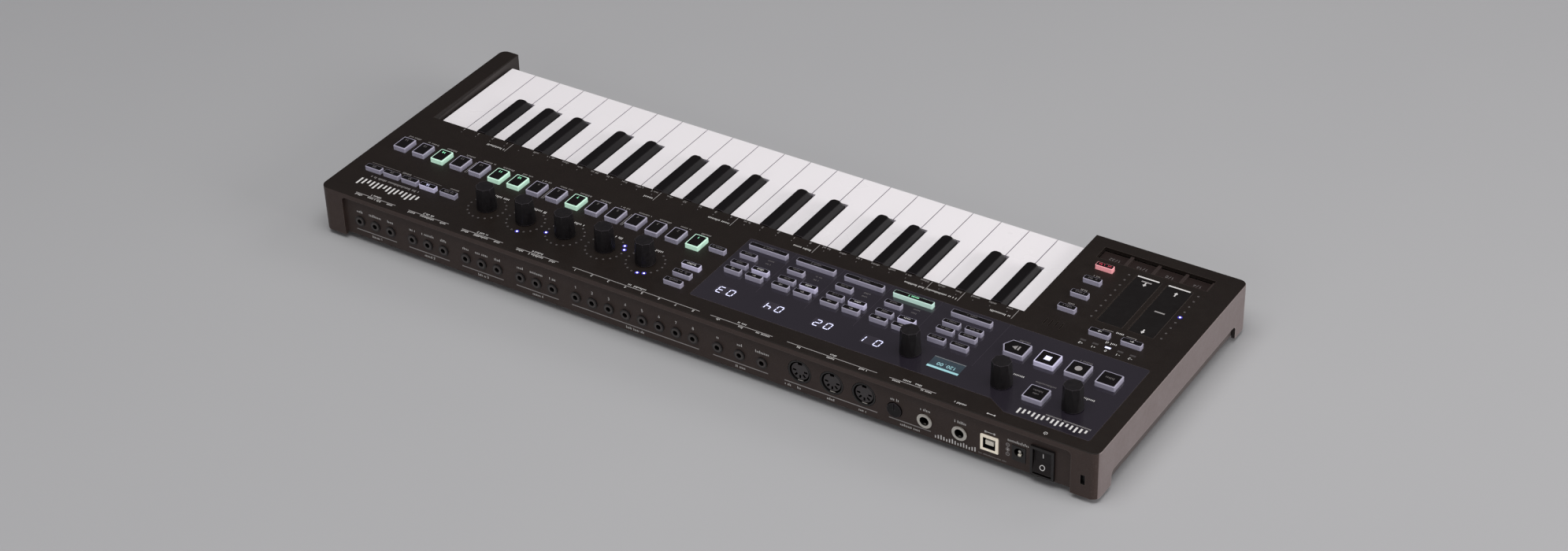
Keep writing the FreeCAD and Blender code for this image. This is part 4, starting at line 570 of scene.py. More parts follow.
class Marks:
    """Thin closed plates on one flat surface, gathered into one mesh that rides on one body."""

    GAP = 0.006
    THICKNESS = 0.03

    def __init__(self, name, body, slot, origin, right, up):
        self.name, self.body, self.slot = name, body, slot
        self.origin = Vector(origin)
        self.right, self.up = Vector(right).normalized(), Vector(up).normalized()
        self.out = self.right.cross(self.up)
        self.inks = []
        self.mesh = bmesh.new()

    def point(self, place, height):
        return (self.origin + self.right * place[0] + self.up * place[1] + self.out * height) * MM

    def prism(self, rings, closed, ink):
        """Close a run of cross-sections, each a pair of places, into a plate."""
        if ink not in self.inks:
            self.inks.append(ink)
        low, high = self.GAP, self.GAP + self.THICKNESS
        loops = [[self.mesh.verts.new(self.point(place, height))
                  for place, height in ((a, low), (b, low), (b, high), (a, high))] for a, b in rings]
        pairs = list(zip(loops, loops[1:] + loops[:1] if closed else loops[1:]))
        made = []
        for first, second in pairs:
            for side in range(4):
                after = (side + 1) % 4
                made.append(self.mesh.faces.new((first[side], first[after], second[after], second[side])))
        if not closed:
            made.append(self.mesh.faces.new(loops[0][::-1]))
            made.append(self.mesh.faces.new(loops[-1]))
        for face in made:
            face.material_index = self.inks.index(ink)

    def line(self, points, width, ink="white_ink", closed=False):
        """A stroke of even width with mitred corners."""
        points = [Vector(point) for point in points]
        if closed and (points[0] - points[-1]).length < SAME_PLACE:
            points = points[:-1]
        count = len(points)
        rings = []
        for number, point in enumerate(points):
            before = points[number - 1] if number or closed else None
            after = points[(number + 1) % count] if number + 1 < count or closed else None
            ways = [point - before] if before else []
            ways += [after - point] if after else []
            ways = [way.normalized() for way in ways]
            along = sum(ways, Vector((0, 0))).normalized()
            across = Vector((-along.y, along.x))
            reach = width / 2 / max(0.5, abs(along.dot(ways[0])))
            rings.append((point - across * reach, point + across * reach))
        self.prism(rings, closed, ink)

    def bar(self, u, v, width, height, ink="white_ink"):
        """A rectangle given by its middle."""
        self.prism([((u - width / 2, v - height / 2), (u - width / 2, v + height / 2)),
                    ((u + width / 2, v - height / 2), (u + width / 2, v + height / 2))], False, ink)

    def plate(self, u, v, width, height, corner, ink):
        """A rectangle with rounded corners, given by its middle."""
        side = bow((corner - width / 2, height / 2 - corner), (corner, corner), 180, 90, 4)
        halves = side + [(-x, half) for x, half in reversed(side)]
        self.prism([((u + x, v - half), (u + x, v + half)) for x, half in halves], False, ink)

    def disc(self, u, v, radius, ink="white_ink", sides=16):
        half = sides // 2
        turns = [math.pi * step / half for step in range(half + 1)]
        rings = [((u + radius * math.cos(turn), v - radius * math.sin(turn) - 1e-4),
                  (u + radius * math.cos(turn), v + radius * math.sin(turn) + 1e-4)) for turn in turns]
        self.prism([(b, a) for a, b in rings], False, ink)

    def ring(self, u, v, radius, width, ink, count=20):
        self.line(bow((u, v), (radius, radius), 0, 360, count), width, ink, closed=True)

    def triangle(self, u, v, width, height, ink):
        """A triangle that points along +u, given by the middle of its base."""
        tip = 0.02
        self.prism([((u, v - height / 2), (u, v + height / 2)),
                    ((u + width, v - tip), (u + width, v + tip))], False, ink)

    def number(self, text, u, v, height, ink="white_ink"):
        """A number centred on a place."""
        start = u - (FIGURE_PITCH * len(text) - (FIGURE_PITCH - FIGURE_WIDTH)) * height / 2
        for place, figure in enumerate(text):
            corner = start + place * FIGURE_PITCH * height
            for points in FIGURES[figure]:
                path = [(corner + x * height, v + (y - 0.5) * height) for x, y in points]
                gap = (Vector(path[0]) - Vector(path[-1])).length
                self.line(path, FIGURE_STROKE * height, ink, closed=gap < SAME_PLACE)

    def words(self, u, v, length, height, ink="white_ink"):
        """A plain row of upright dashes where the object has a word."""
        pitch = DASH_PITCH * height
        count = max(2, round(length / pitch))
        for place in range(count):
            tall = PRINT_DRAWS.choice(DASH_HEIGHTS)
            blank = PRINT_DRAWS.random() < DASH_GAPS and 0 < place < count - 1
            if not blank:
                middle = u + (place - (count - 1) / 2) * pitch
                self.bar(middle, v - (1 - tall) * height / 2, DASH_WIDTH * pitch, tall * height, ink)

    def done(self):
        bmesh.ops.recalc_face_normals(self.mesh, faces=self.mesh.faces)
        add_piece(self.name, self.mesh, self.body, self.inks)


RIGHT, LEFTWARDS, BACK, UP = (1, 0, 0), (-1, 0, 0), (0, 1, 0), (0, 0, 1)


def top_marks(name, body, slot, level):
    """Marks on a level surface, upright for the player."""
    return Marks(name, body, slot, (0, 0, level), RIGHT, BACK)


LABEL = 1.9
GROUP_LINE = 0.55
REAR_LABEL_Y, REAR_LINE_Y, REAR_GROUP_Y = 99.7, 98.0, 96.2
VOICE_WORDS = (5.6, 11.0, 5.0)


def print_rear_edge(marks):
    """Names of the sockets along the top panel's rear edge."""
    y = REAR_LABEL_Y
    marks.line(bow((-257.3, y - 0.2), (1.1, 1.1), 125, 415, 14), 0.32)
    marks.bar(-257.3, y + 0.7, 0.32, 1.5)
    marks.bar(-220.5, y, 4.4, 0.4)
    marks.disc(-222.9, y, 0.6)
    marks.bar(-218.3, y, 1.1, 1.1)
    marks.words(-199.3, y, 8.2, LABEL)
    groups = [
        (-181.7, -149.0, [(-175.5, 7.2), (-154.5, 6.0)], (-164.0, 13.5)),
        (-140.2, -75.2, [(-131.0, 5.4), (-107.5, 5.4), (-84.5, 2.4)], (-107.5, 5.2)),
        (-64.5, -18.2, [(-58.0, 10.6), (-41.5, 4.0), (-24.8, 2.4)], (-40.5, 7.0)),
        (-10.0, 88.5, [], (39.5, 14.0)),
    ]
    for sockets in VOICE_X:
        labels = list(zip(sockets, VOICE_WORDS))
        groups.append((sockets[2] - 4.1, sockets[0] + 3.4, labels, (sockets[1], 6.5)))
    for start, end, labels, (middle, length) in groups:
        marks.bar((start + end) / 2, REAR_LINE_Y, end - start, GROUP_LINE, "grey_ink")
        marks.words(middle, REAR_GROUP_Y, length, LABEL)
        for x, width in labels:
            marks.words(x, y, width, LABEL)
    for number, x in enumerate(GATE_X, start=1):
        marks.number(str(number), x, y, LABEL)
    for number, sockets in enumerate(VOICE_X, start=1):
        marks.number(str(number), sockets[1] + 4.6, REAR_GROUP_Y, LABEL)


KEY_GROUPS = ((-183.5, 15.0), (-144.8, 22.0), (-121.0, 14.5), (-36.7, 14.0), (26.7, 17.0), (88.0, 7.0),
              (211.2, 14.5))
KEY_FIGURES = {12: "0", 13: "1", 14: "2", 15: "3", 17: "4", 18: "8", 19: "16", 20: "32",
               32: "1", 33: "2", 34: "3", 35: "4"}
KEY_WORDS = 31
KEY_LABELS, KEY_LABEL_START, KEY_LABEL_PITCH, KEY_LABEL_Y = 36, -177.5, 12.28, -2.0


def print_key_functions(marks):
    """Second functions of the keys, on the strip of panel behind them."""
    for x, length in KEY_GROUPS:
        marks.bar(x, 1.8, 0.4, 10.5, "grey_ink")
        marks.words(x + 1.4 + length / 2, 5.5, length, 2.1)
    for place in range(KEY_LABELS):
        x = KEY_LABEL_START + KEY_LABEL_PITCH * place
        marks.bar(x, 1.5, 0.5, 0.9, "dim_ink")
        if place in KEY_FIGURES:
            marks.number(KEY_FIGURES[place], x, KEY_LABEL_Y, LABEL, "grey_ink")
        elif place < KEY_WORDS:
            marks.words(x, KEY_LABEL_Y, 4.4 + place % 3, 1.8, "grey_ink")


MARK_BARS = 15
MARK_HEIGHTS = (0.55, 0.8, 1.0, 0.8)


def print_mark_bars(marks, start, end, y, height):
    """A plain row of level bars."""
    pitch = (end - start) / MARK_BARS
    for place in range(MARK_BARS):
        tall = MARK_HEIGHTS[place % len(MARK_HEIGHTS)] * height
        marks.bar(start + pitch * (place + 0.5), y - (height - tall) / 2, pitch * DASH_WIDTH, tall)


ENCODER_WORDS = (6.5, 6.5, 8.5, 10.5, 12.8)
BARS_LABEL_Y = 63.3
OCTAVE_FIGURE_X = (-267.0, -258.5, -250.0, -241.5, -232.8)
OCTAVE_X, STRIP_LABEL_Y = -249.7, -12.0


def print_panel():
    """White and grey prints of the painted panel."""
    marks = top_marks("panel_print", "case", "cover_metal", PANEL)
    print_rear_edge(marks)
    print_key_functions(marks)
    print_mark_bars(marks, 225.0, 276.3, 85.5, 7.6)
    marks.words(250.7, 77.8, 41.0, 2.4, "grey_ink")
    for (x, _), length in zip(ENCODER_CENTRES, ENCODER_WORDS):
        marks.words(x - 1.0, 55.2, length, 2.4)
    for step, x in enumerate(STEP_X):
        marks.words(x + 0.6, 24.1, 7.5 + step * 5 % 4, LABEL, "grey_ink")
        if step % 4 == 3 and step < 15:
            for shift in (-0.6, 0.6):
                marks.bar(x + STEP_PITCH / 2 + shift, 35.0, 0.35, 14.0, "grey_ink")
    for x, length in ((211.0, 7.2), (251.5, 7.6)):
        marks.words(x, BARS_LABEL_Y, length, 1.8, "grey_ink")
    for x in (233.8, 269.2):
        marks.bar(x, BARS_LABEL_Y, 24.0, 0.4, "dim_ink")
    for number, x in zip(("-2", "-1", "0", "+1", "+2"), OCTAVE_FIGURE_X):
        marks.number(number, x, 8.0, 2.0)
    marks.words(OCTAVE_X, -0.1, 7.2, 2.2)
    marks.words(OCTAVE_X, STRIP_LABEL_Y, 6.0, 2.2)
    for sign in (-1, 1):
        near_x, far_x = (OCTAVE_X - 0.1 + sign * reach for reach in (4.6, 11.2))
        hook = [(near_x, STRIP_LABEL_Y), (far_x, STRIP_LABEL_Y), (far_x, STRIP_LABEL_Y + 1.8)]
        marks.line(hook, 0.4, "grey_ink")
    for _, y in BAY_COLUMN[:3]:
        marks.words(-208.6, y - 7.0, 5.0, LABEL, "grey_ink")
    for strip in STRIPS:
        marks.bar(sum(strip) / 2 + 0.4, -74.4, 15.2, 1.3)
    marks.done()


# Place, length, height and ink of the window's words, and its dividing lines without their x.
WINDOW_WORDS = (
    (-264.0, 83.6, 31.0, 1.7, "grey_ink"), (-264.3, 57.5, 7.4, 2.2), (-216.2, 57.5, 8.0, 2.2),
    (-235.0, 57.5, 14.0, 1.9, "dim_ink"), (-245.6, 24.8, 9.0, 1.9, "dim_ink"),
    (-203.0, 24.8, 8.0, 1.9, "dim_ink"),
)
WINDOW_LINE = (38.0, 0.25, 50.0, "line_ink")


def print_window():
    """Prints on the smoked window."""
    marks = top_marks("window_print", "case", "smoked_window", PANEL)
    print_mark_bars(marks, -279.0, -231.2, 87.7, 5.4)
    for words in WINDOW_WORDS:
        marks.words(*words)
    for shift in TRACK_SHIFTS:
        marks.words(TRACK_X + 1.5 + shift, 32.5, 4.0, 1.6, "dim_ink")
        marks.words(TRACK_X + 1.5 + shift, 28.8, 4.8, 1.6, "dim_ink")
        marks.bar(-138.0 + shift, *WINDOW_LINE)
    marks.bar(-186.7, *WINDOW_LINE)
    for column in (0, COLUMN_SHIFT):
        for y in CONTROL_ROWS[:2]:
            marks.words(CONTROL_X + 1.6 + column, y - 3.9, 6.0, 1.2, "dim_ink")
    marks.done()


def arrow(marks, u, v, way, ink):
    """A short arrow; way is 1 to the right and -1 to the left."""
    marks.bar(u - way * 0.5, v, 1.8, 0.35, ink)
    marks.line([(u + way * 0.2, v + 0.75), (u + way * 1.1, v), (u + way * 0.2, v - 0.75)], 0.35, ink)


CAP_CORNER = 0.6
SMALL_RIM, LARGE_RIM = 0.45, 0.85
PLATE_TOP = CAP + Marks.GAP + Marks.THICKNESS


def make_cap_plates():
    """Black plate on each button's cap, inside a translucent rim."""
    second = TRACK_X + COLUMN_SHIFT
    small = [(x, y) for x in (CONTROL_X, CONTROL_X + COLUMN_SHIFT) for y in CONTROL_ROWS]
    wide = [(CONTROL_X + COLUMN_SHIFT / 2, SELECT_Y)]
    for shift in TRACK_SHIFTS:
        small += [(x + shift, y) for x in (TRACK_X, second) for y in (ARROW_Y, MODE_Y)]
        small.append((second + shift, MUTE_Y))
        wide.append((TRACK_MIDDLE + shift, SELECT_Y))
    blocks = [(x, TRANSPORT_Y) for x in (SHIFT_X, RECORD_X, STOP_X)] + [TAP]
    groups = {
        "step_buttons": [([(x, STEP_Y) for x in STEP_X], STEP_SPAN, LARGE_RIM)],
        "window_buttons": [(blocks, BLOCK_SPAN, LARGE_RIM),
                           (small, SMALL_SPAN, SMALL_RIM), (wide, WIDE_SPAN, SMALL_RIM)],
        "panel_buttons": [([OVERVIEW], SMALL_SPAN, SMALL_RIM), (MENU, MENU_SPAN, SMALL_RIM),
                          (BARS, BAR_SPAN, SMALL_RIM), (OCTAVE, OCTAVE_SPAN, SMALL_RIM),
                          (BAY_COLUMN, COLUMN_SPAN, SMALL_RIM)],
    }
    for node, families in groups.items():
        marks = top_marks(f"{node}_plates", node, "button_plastic", CAP)
        for centres, span, rim in families:
            for x, y in centres:
                marks.plate(x, y, span[0] - 2 * rim, span[1] - 2 * rim, CAP_CORNER, "button_cap")
        if node == "window_buttons":
            half = BLOCK_SPAN[1] / 2 - LARGE_RIM
            outline = ((LARGE_RIM - BLOCK_SPAN[0] / 2, half), (PLAY_SHOULDER - LARGE_RIM / 2, half),
                       (PLAY_TIP - 1.2, 0.3))
            sections = [((PLAY_X + u, TRANSPORT_Y - v), (PLAY_X + u, TRANSPORT_Y + v)) for u, v in outline]
            marks.prism(sections, False, "button_cap")
        marks.done()


def cap_marks(group):
    return top_marks(f"{group}_button_print", f"{group}_buttons", "button_plastic", PLATE_TOP)


def print_step_caps():
    marks = cap_marks("step")
    for step, x in enumerate(STEP_X, start=1):
        ink = "green_ink" if step in LIT_STEPS else "dim_ink"
        marks.number(str(step), x + 0.6, STEP_Y - 3.4, 2.0, ink)
    marks.done()


def print_window_caps():
    marks = cap_marks("window")
    marks.words(SHIFT_X, TRANSPORT_Y - 0.6, 6.0, 2.1, "dim_ink")
    marks.disc(RECORD_X, TRANSPORT_Y, 2.4, "grey_ink", 24)
    marks.bar(STOP_X, TRANSPORT_Y, 4.2, 4.2, "segment_glow")
    marks.bar(PLAY_X - 0.9, TRANSPORT_Y, 1.1, 4.2, "grey_ink")
    marks.triangle(PLAY_X + 0.6, TRANSPORT_Y, 3.2, 4.2, "grey_ink")
    marks.words(TAP[0], TAP[1] + 1.2, 4.0, 1.7, "dim_ink")
    marks.words(TAP[0], TAP[1] - 2.0, 7.0, 1.7, "dim_ink")
    for row in CONTROL_ROWS:
        for column in (0, COLUMN_SHIFT):
            marks.words(CONTROL_X + column, row, 6.4, 1.5, "dim_ink")
    marks.words(CONTROL_X + COLUMN_SHIFT / 2, SELECT_Y, 7.4, 1.6, "dim_ink")
    for number, shift in enumerate(TRACK_SHIFTS, start=1):
        left = TRACK_X + shift
        middle = TRACK_MIDDLE + shift
        right = left + COLUMN_SHIFT
        arrow(marks, left, ARROW_Y, -1, "grey_ink")
        arrow(marks, right, ARROW_Y, 1, "grey_ink")
        marks.words(left, MODE_Y, 4.4, 1.6)
        marks.words(right, MODE_Y, 4.2, 1.5, "dim_ink")
        marks.words(right, MUTE_Y, 5.0, 1.5, "dim_ink")
        ink = "green_ink" if number == 1 else "dim_ink"
        marks.words(middle - 0.9, SELECT_Y, 5.4, 1.6, ink)
        marks.number(str(number), middle + 3.4, SELECT_Y, 1.6, ink)
    marks.done()


def print_panel_caps():
    marks = cap_marks("panel")
    marks.words(OVERVIEW[0], OVERVIEW[1], 8.4, 1.7, "dim_ink")
    for number, (x, y) in enumerate(MENU):
        marks.words(x, y, 6.8, 1.7, "white_ink" if number == 2 else "dim_ink")
    for number, (x, y) in enumerate(BARS):
        if number == 0:
            marks.words(x, y, 7.6, 1.7, "dim_ink")
        else:
            marks.number(str(16 * number), x, y, 1.9, "segment_glow" if number == LIT_BAR else "dim_ink")
    for way, (x, y) in zip((-1, 1), OCTAVE):
        arrow(marks, x, y, way, "white_ink")
    for x, y in BAY_COLUMN[:3]:
        marks.words(x, y, 6.0, 1.6, "dim_ink")
    marks.words(BAY_COLUMN[3][0], BAY_COLUMN[3][1], 9.0, 1.8, "red_ink")
    marks.done()


# Lamps and displays.

RING_RADIUS = 13.0
RING_START, RING_STEP, RING_LAMPS = 240.0, 20.0, 16
LIT_LAMPS = ((6, 7), (1, 2), (11,), (7,), ())


def lamp_dot(marks, u, v, is_lit, radius=0.55):
    """A small round lamp; a lit one has a painted halo of its light on the paint round it, an unlit one a
    thin grey ring, a painted highlight on the rim of its hole.
    """
    if is_lit:
        # Halo: painted glow of the lamp's light on the paint.
        marks.ring(u, v, radius + 0.55, 0.9, "led_halo", 16)
        marks.disc(u, v, radius + 0.1, "led_lit")
    else:
        # Grey ring: painted highlight on the rim of the lamp's hole.
        marks.ring(u, v, radius, 0.22, "dim_ink", 12)
        marks.disc(u, v, radius - 0.13, "led_dark", 10)


def make_encoder_lamps():
    marks = top_marks("encoder_lamps", "case", "display_plastic", PANEL)
    for centre, lit in zip(ENCODER_CENTRES, LIT_LAMPS):
        for place in range(RING_LAMPS):
            turn = math.radians(RING_START - RING_STEP * place)
            u = centre[0] + RING_RADIUS * math.cos(turn)
            v = centre[1] + RING_RADIUS * math.sin(turn)
            lamp_dot(marks, u, v, place in lit)
    marks.done()


STRIP_LAMP_X = (-274.0, -225.5)
STRIP_LAMPS = 9
STRIP_LAMP_START, STRIP_LAMP_PITCH = -20.5, 6.52
LIT_STRIP_LAMP = 4
LIT_OCTAVE = 2


def make_bay_lamps():
    marks = top_marks("bay_lamps", "case", "display_plastic", PANEL)
    for column, x in enumerate(STRIP_LAMP_X):
        for place in range(STRIP_LAMPS):
            y = STRIP_LAMP_START - STRIP_LAMP_PITCH * place
            lamp_dot(marks, x, y, column == 0 and place == LIT_STRIP_LAMP)
    for place in range(5):
        x = -267.0 + 8.55 * place
        ink = "segment_glow" if place == LIT_OCTAVE else "led_dark"
        marks.bar(x, 4.5, 3.9, 1.7, ink)
    marks.done()


SEGMENTS = {
    "a": ((-1, 1), (1, 1)), "b": ((1, 1), (1, 0)), "c": ((1, 0), (1, -1)), "d": ((-1, -1), (1, -1)),
    "e": ((-1, 0), (-1, -1)), "f": ((-1, 1), (-1, 0)), "g": ((-1, 0), (1, 0)),
}
LIT_SEGMENTS = {"0": "abcdef", "1": "bc", "2": "abged", "3": "abgcd", "4": "fgbc"}
SHOWN = ("01", "02", "04", "03")
DIGIT_HALF_WIDTH, DIGIT_HALF_HEIGHT, DIGIT_SLANT = 1.9, 3.1, 0.1
SEGMENT_GAP, SEGMENT_WIDTH = 0.35, 0.68
FIGURE_OFFSETS = (-4.9, 3.0)
DISPLAY_SPAN = (13.6, 8.6)
SCREEN_X, SCREEN_WIDTH = -173.0, 22.0
# The lit parts lie just above their dark backs.
DISPLAY_LIFT = 0.04


def seven_segments(marks, figure, u, v):
    """One figure of the track displays, slightly slanted."""
    for segment in LIT_SEGMENTS[figure]:
        ends = []
        for a, b in SEGMENTS[segment]:
            rise = b * DIGIT_HALF_HEIGHT
            ends.append(Vector((u + a * DIGIT_HALF_WIDTH + rise * DIGIT_SLANT, v + rise)))
        gap = (ends[1] - ends[0]).normalized() * SEGMENT_GAP
        marks.line([ends[0] + gap, ends[1] - gap], SEGMENT_WIDTH, "segment_glow")


def make_displays():
    """Lit figures of the four track displays and the small screen, seen through the window."""
    marks = top_marks("display_figures", "case", "display_plastic", PANEL)
    for shift in TRACK_SHIFTS:
        marks.bar(DISPLAY_X + shift, DISPLAY_Y + 0.6, *DISPLAY_SPAN, "display_back")
    marks.bar(SCREEN_X, 70.2, SCREEN_WIDTH, 12.0, "screen_glow")
    marks.done()
    marks = top_marks("display_light", "case", "display_plastic", PANEL + DISPLAY_LIFT)
    for text, shift in zip(SHOWN, TRACK_SHIFTS):
        for figure, offset in zip(text, FIGURE_OFFSETS):
            seven_segments(marks, figure, DISPLAY_X + offset + shift, DISPLAY_Y + 1.0)
    marks.bar(SCREEN_X, 75.2, SCREEN_WIDTH, 1.9, "screen_bright")
    marks.number("120.00", SCREEN_X - 0.5, 71.0, 2.9, "screen_bright")
    marks.bar(SCREEN_X, 64.9, SCREEN_WIDTH, 0.35, "grey_ink")
    marks.done()


PAD_RIM_DEPTH, PAD_RIM_TOP, PAD_RIM_WIDTH = 3.4, 1.4, 1.5


def make_pad_rim():
    """Raised edge along the rear and the left end of the looper pad."""
    mesh = bmesh.new()
    low_x, low_y, high_x, high_y = PAD_BOX
    floor, top, width = PANEL - PAD_RIM_DEPTH, PANEL - PAD_RIM_TOP, PAD_RIM_WIDTH
    add_block(mesh, (low_x, high_y - width, floor), (high_x, high_y, top))
    add_block(mesh, (low_x, low_y, floor), (low_x + width, high_y - width, top))
    bmesh.ops.bevel(mesh, geom=list(mesh.edges), offset=0.25 * MM, segments=2, affect="EDGES")
    add_piece("pad_rim", mesh, "case", ["pad_rib"])


PAD_NUMBERS = ("1/4", "1/8", "1/16", "1/32")
PAD_NUMBER_X, PAD_NUMBER_Y = (-266.8, -247.3, -227.8, -208.3), -86.8
PAD_PRINT_DEPTH = 3.2


def print_touch_strips():
    """Arrows and dashes of the touch strips, and the pad's numbers."""
    marks = top_marks("touch_strip_print", "case", "touch_film", STRIP_TOP)
    bend, shift = (sum(strip) / 2 for strip in STRIPS)
    marks.bar(bend, -45.2, 7.0, 1.2, "grey_ink")
    for x, y, way in ((bend, -22.0, 1), (bend, -68.0, -1), (shift, -68.0, 1)):
        marks.bar(x, y - way * 0.8, 0.9, 3.0)
        marks.line([(x - 1.0, y + way * 0.2), (x, y + way * 1.7), (x + 1.0, y + way * 0.2)], 0.6)
    marks.bar(shift, -70.8, 7.0, 1.2, "grey_ink")
    marks.done()
    pads = top_marks("pad_print", "case", "touch_film", PANEL - PAD_PRINT_DEPTH)
    for place, number in enumerate(PAD_NUMBERS):
        pads.number(number, PAD_NUMBER_X[place], PAD_NUMBER_Y, 2.6, "dim_ink")
    pads.done()


# The rear panel.

def print_rear_panel():
    """Names and group lines of the sockets; u runs from the middle towards the player's left."""
    marks = Marks("rear_panel_print", "case", "tray_metal", (0, REAR_PANEL, 0), LEFTWARDS, UP)
    label_z, line_z, group_z = 24.7, 9.9, 7.5
    # A near-black plate behind the lock slot: painted shade seen in the slot.
    marks.bar(-LOCK_X, LOCK_Z, 3.6, 7.6, "socket_dark")
    groups = []
    for sockets in VOICE_X:
        labels = [(-x, width) for x, width in zip(sockets, VOICE_WORDS)]
        groups.append((labels, 6.5, -sockets[1] - 1.0))
    groups.append(([(-x, 0.0) for x in GATE_X], 14.5, -(GATE_X[0] + GATE_X[-1]) / 2))
    groups.append(([(-x, width) for x, width in zip(CLOCK_X, (2.4, 4.0, 10.8))], 7.2, -CLOCK_X[1]))
    groups.append(([(-LEVEL_X, 6.2), (-PHONE_X[0], 7.6)], 14.0, -(LEVEL_X + PHONE_X[0]) / 2))
    for labels, length, middle in groups:
        start, end = labels[0][0] - 4.0, labels[-1][0] + 4.0
        marks.bar((start + end) / 2, line_z, end - start, 0.7, "grey_ink")
        marks.words(middle, group_z, length, LABEL)
        for u, width in labels:
            if width:
                marks.words(u, label_z, width, 2.1)
    for number, sockets in enumerate(VOICE_X, start=1):
        marks.number(str(number), -sockets[1] + 3.8, group_z, LABEL)
    for number, x in enumerate(GATE_X, start=1):
        marks.number(str(number), -x, label_z, 2.1)
    marks.bar(108.0, line_z, 67.6, 0.7, "grey_ink")
    for u, width in ((76.6, 4.8), (84.8, 2.4), (108.0, 5.6), (131.0, 5.6)):
        marks.words(u, group_z, width, LABEL)
    marks.words(-PHONE_X[1], label_z, 8.6, 2.1)
    print_mark_bars(marks, 182.0, 211.5, 8.2, 3.4)
    marks.words(222.5, 7.3, 19.0, 1.2, "grey_ink")
    print_power_marks(marks, label_z)
    marks.done()


def print_power_marks(marks, label_z):
    """Data and polarity symbols left and right of the power inlet."""
    marks.bar(-USB_X, label_z, 5.6, 0.45)
    marks.disc(-USB_X + 3.2, label_z, 0.75)
    marks.bar(-USB_X - 2.8, label_z, 1.3, 1.3)
    marks.words(-INLET_X - 0.6, label_z, 14.6, 2.1)
    u = -INLET_X - 7.6
    levels = (20.6, 17.1, 13.6)
    for z in levels:
        marks.ring(u, z, 1.15, 0.4, "grey_ink", 16)
    marks.disc(u, levels[1], 0.55)
    marks.bar(u, levels[0], 1.2, 0.35, "grey_ink")
    marks.number("+", u, levels[2], 1.5, "grey_ink")
    for low, high in zip(levels[1:], levels):
        marks.bar(u, (low + high) / 2, 0.35, 1.2, "grey_ink")


# Depth and height of the rocker's profile, which its two prints lie on.
ROCKER_RIDGE, ROCKER_TOP, ROCKER_FOOT = (100.67, 16.96), (100.96, 25.26), (102.96, 8.98)


def print_rocker():
    """On and off symbols on the rocker's two faces."""
    for sign, low, high in (("on", ROCKER_RIDGE, ROCKER_TOP), ("off", ROCKER_FOOT, ROCKER_RIDGE)):
        middle = (ROCKER_X, (low[0] + high[0]) / 2, (low[1] + high[1]) / 2)
        up = (0, high[0] - low[0], high[1] - low[1])
        marks = Marks(f"rocker_{sign}_print", "power_rocker", "rocker_plastic", middle, LEFTWARDS, up)
        if sign == "on":
            marks.bar(0, 0, 0.6, 3.2)
        else:
            marks.ring(0, 0, 1.6, 0.55, "white_ink", 24)
        marks.done()


def make_socket_contacts():
    """Spring contacts just inside the phone jacks and round sockets, and a pale block that paints a glint in
    the power inlet.
    """
    mesh = bmesh.new()
    for x in PHONE_X:
        low = (x - 0.9, REAR_PANEL - 2.2, PHONE_Z - 3.15)
        add_block(mesh, low, (x + 0.9, REAR_PANEL + 0.4, PHONE_Z - 2.2))
    for x in MIDI_X:
        low = (x - 2.6, REAR_PANEL - 1.6, MIDI_Z - 7.2)
        add_block(mesh, low, (x + 1.6, REAR_PANEL - 0.4, MIDI_Z - 6.35))
    add_contacts("socket_contacts", mesh, "chrome")
    # A pale block low in the power inlet's bore: a painted glint where light falls on the metal contact.
    mesh = bmesh.new()
    foot = POWER_Z - 2.1
    add_block(mesh, (INLET_X - 1.3, REAR_PANEL - 1.8, foot), (INLET_X + 0.9, REAR_PANEL - 0.2, foot + 1.4))
    add_contacts("inlet_painted_glint", mesh, "tongue_plastic")


def add_contacts(name, mesh, finish):
    bmesh.ops.bevel(mesh, geom=list(mesh.edges), offset=0.15 * MM, segments=2, affect="EDGES")
    add_piece(name, mesh, "case", [finish])


def add_block(mesh, low, high):
    """One block between two corners, in millimetres."""
    low, high = Vector(low) * MM, Vector(high) * MM
    made = bmesh.ops.create_cube(mesh, size=1.0)
    scale = Matrix.Diagonal((high - low).to_4d())
    bmesh.ops.transform(mesh, matrix=Matrix.Translation((low + high) / 2) @ scale, verts=made["verts"])


# Floor, light and camera.

def make_floor():
    finish = Finish("floor_paper", (172, 172, 173), 0.85, specular=0.2)
    finish.mottle(400, (166, 166, 168), 0.4).grain(6, 0.05, 0.2)
    half = 12.0
    data = bpy.data.meshes.new("floor")
    corners = [(-half, -half, 0), (half, -half, 0), (half, half, 0), (-half, half, 0)]
    data.from_pydata(corners, [], [(0, 1, 2, 3)])
    data.materials.append(finish.material)
    add_object("floor", data)


def add_softbox(name, place, span, power, colour=(1, 1, 1)):
    """A rectangular soft light that faces the object."""
    data = bpy.data.lights.new(name, "AREA")
    data.shape = "RECTANGLE"
    data.size, data.size_y = span
    data.energy = power
    data.color = colour
    light = add_object(name, data)
    light.location = place
    light.rotation_euler = (-Vector(place)).to_track_quat("-Z", "Y").to_euler()


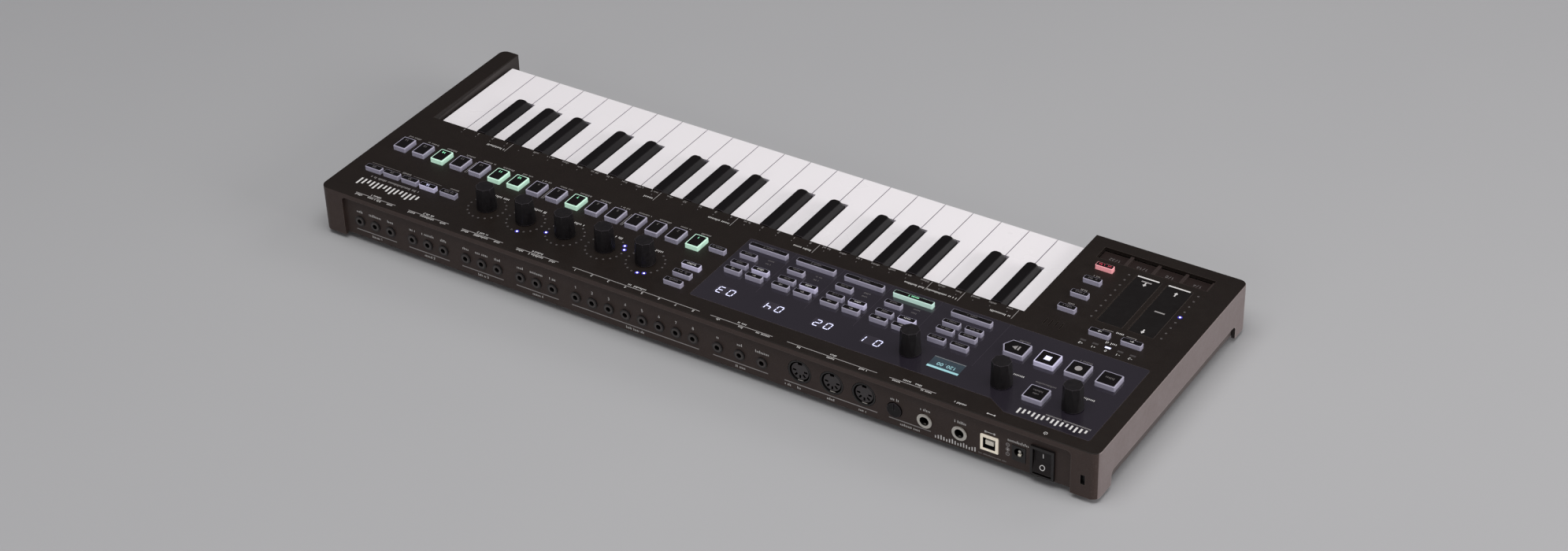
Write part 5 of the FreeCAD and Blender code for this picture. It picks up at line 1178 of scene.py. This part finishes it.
def make_lights():
    world = bpy.data.worlds.new("studio")
    world.use_nodes = True
    backdrop = world.node_tree.nodes["Background"].inputs
    backdrop["Color"].default_value = (0.30, 0.29, 0.31, 1)
    backdrop["Strength"].default_value = 0.43
    bpy.context.scene.world = world
    add_softbox("overhead", (-0.2, 0.5, 2.4), (2.2, 1.8), 49)
    add_softbox("left_side", (-2.4, -0.3, 0.7), (1.6, 1.2), 31, (1.0, 0.97, 0.97))
    add_softbox("rear_fill", (-0.4, 2.8, 1.2), (2.2, 1.0), 13)
    add_softbox("front_left", (-1.6, -2.2, 1.9), (1.4, 1.0), 9)


CAMERA_AZIMUTH, CAMERA_ELEVATION, CAMERA_ROLL = (math.radians(angle) for angle in (213.35, 34.67, -1.946))
CAMERA_PLACE = Vector((-898.85, 1350.49, 1124.64)) * MM
FOCAL_LENGTH, SENSOR_WIDTH = 68.45, 36.0


def make_camera():
    """Camera that looks down on the rear left of the case."""
    level = math.cos(CAMERA_ELEVATION)
    across, along = math.sin(CAMERA_AZIMUTH) * level, -math.cos(CAMERA_AZIMUTH) * level
    back = Vector((across, along, math.sin(CAMERA_ELEVATION)))
    right = Vector(UP).cross(back).normalized()
    up = back.cross(right)
    cosine, sine = math.cos(CAMERA_ROLL), math.sin(CAMERA_ROLL)
    axes = (right * cosine + up * sine, up * cosine - right * sine, back)
    data = bpy.data.cameras.new("camera")
    data.lens, data.sensor_width, data.sensor_fit = FOCAL_LENGTH, SENSOR_WIDTH, "HORIZONTAL"
    data.clip_start, data.clip_end = 0.02, 60
    camera = add_object("camera", data)
    camera.matrix_world = Matrix.Translation(CAMERA_PLACE) @ Matrix(axes).transposed().to_4x4()
    bpy.context.scene.camera = camera


bpy.context.scene.view_settings.view_transform = "Standard"
make_camera()
make_floor()
make_lights()
paint_cad()
print_panel()
print_window()
make_cap_plates()
print_step_caps()
print_window_caps()
print_panel_caps()
make_encoder_lamps()
make_bay_lamps()
make_displays()
print_touch_strips()
make_pad_rim()
print_rear_panel()
print_rocker()
make_socket_contacts()
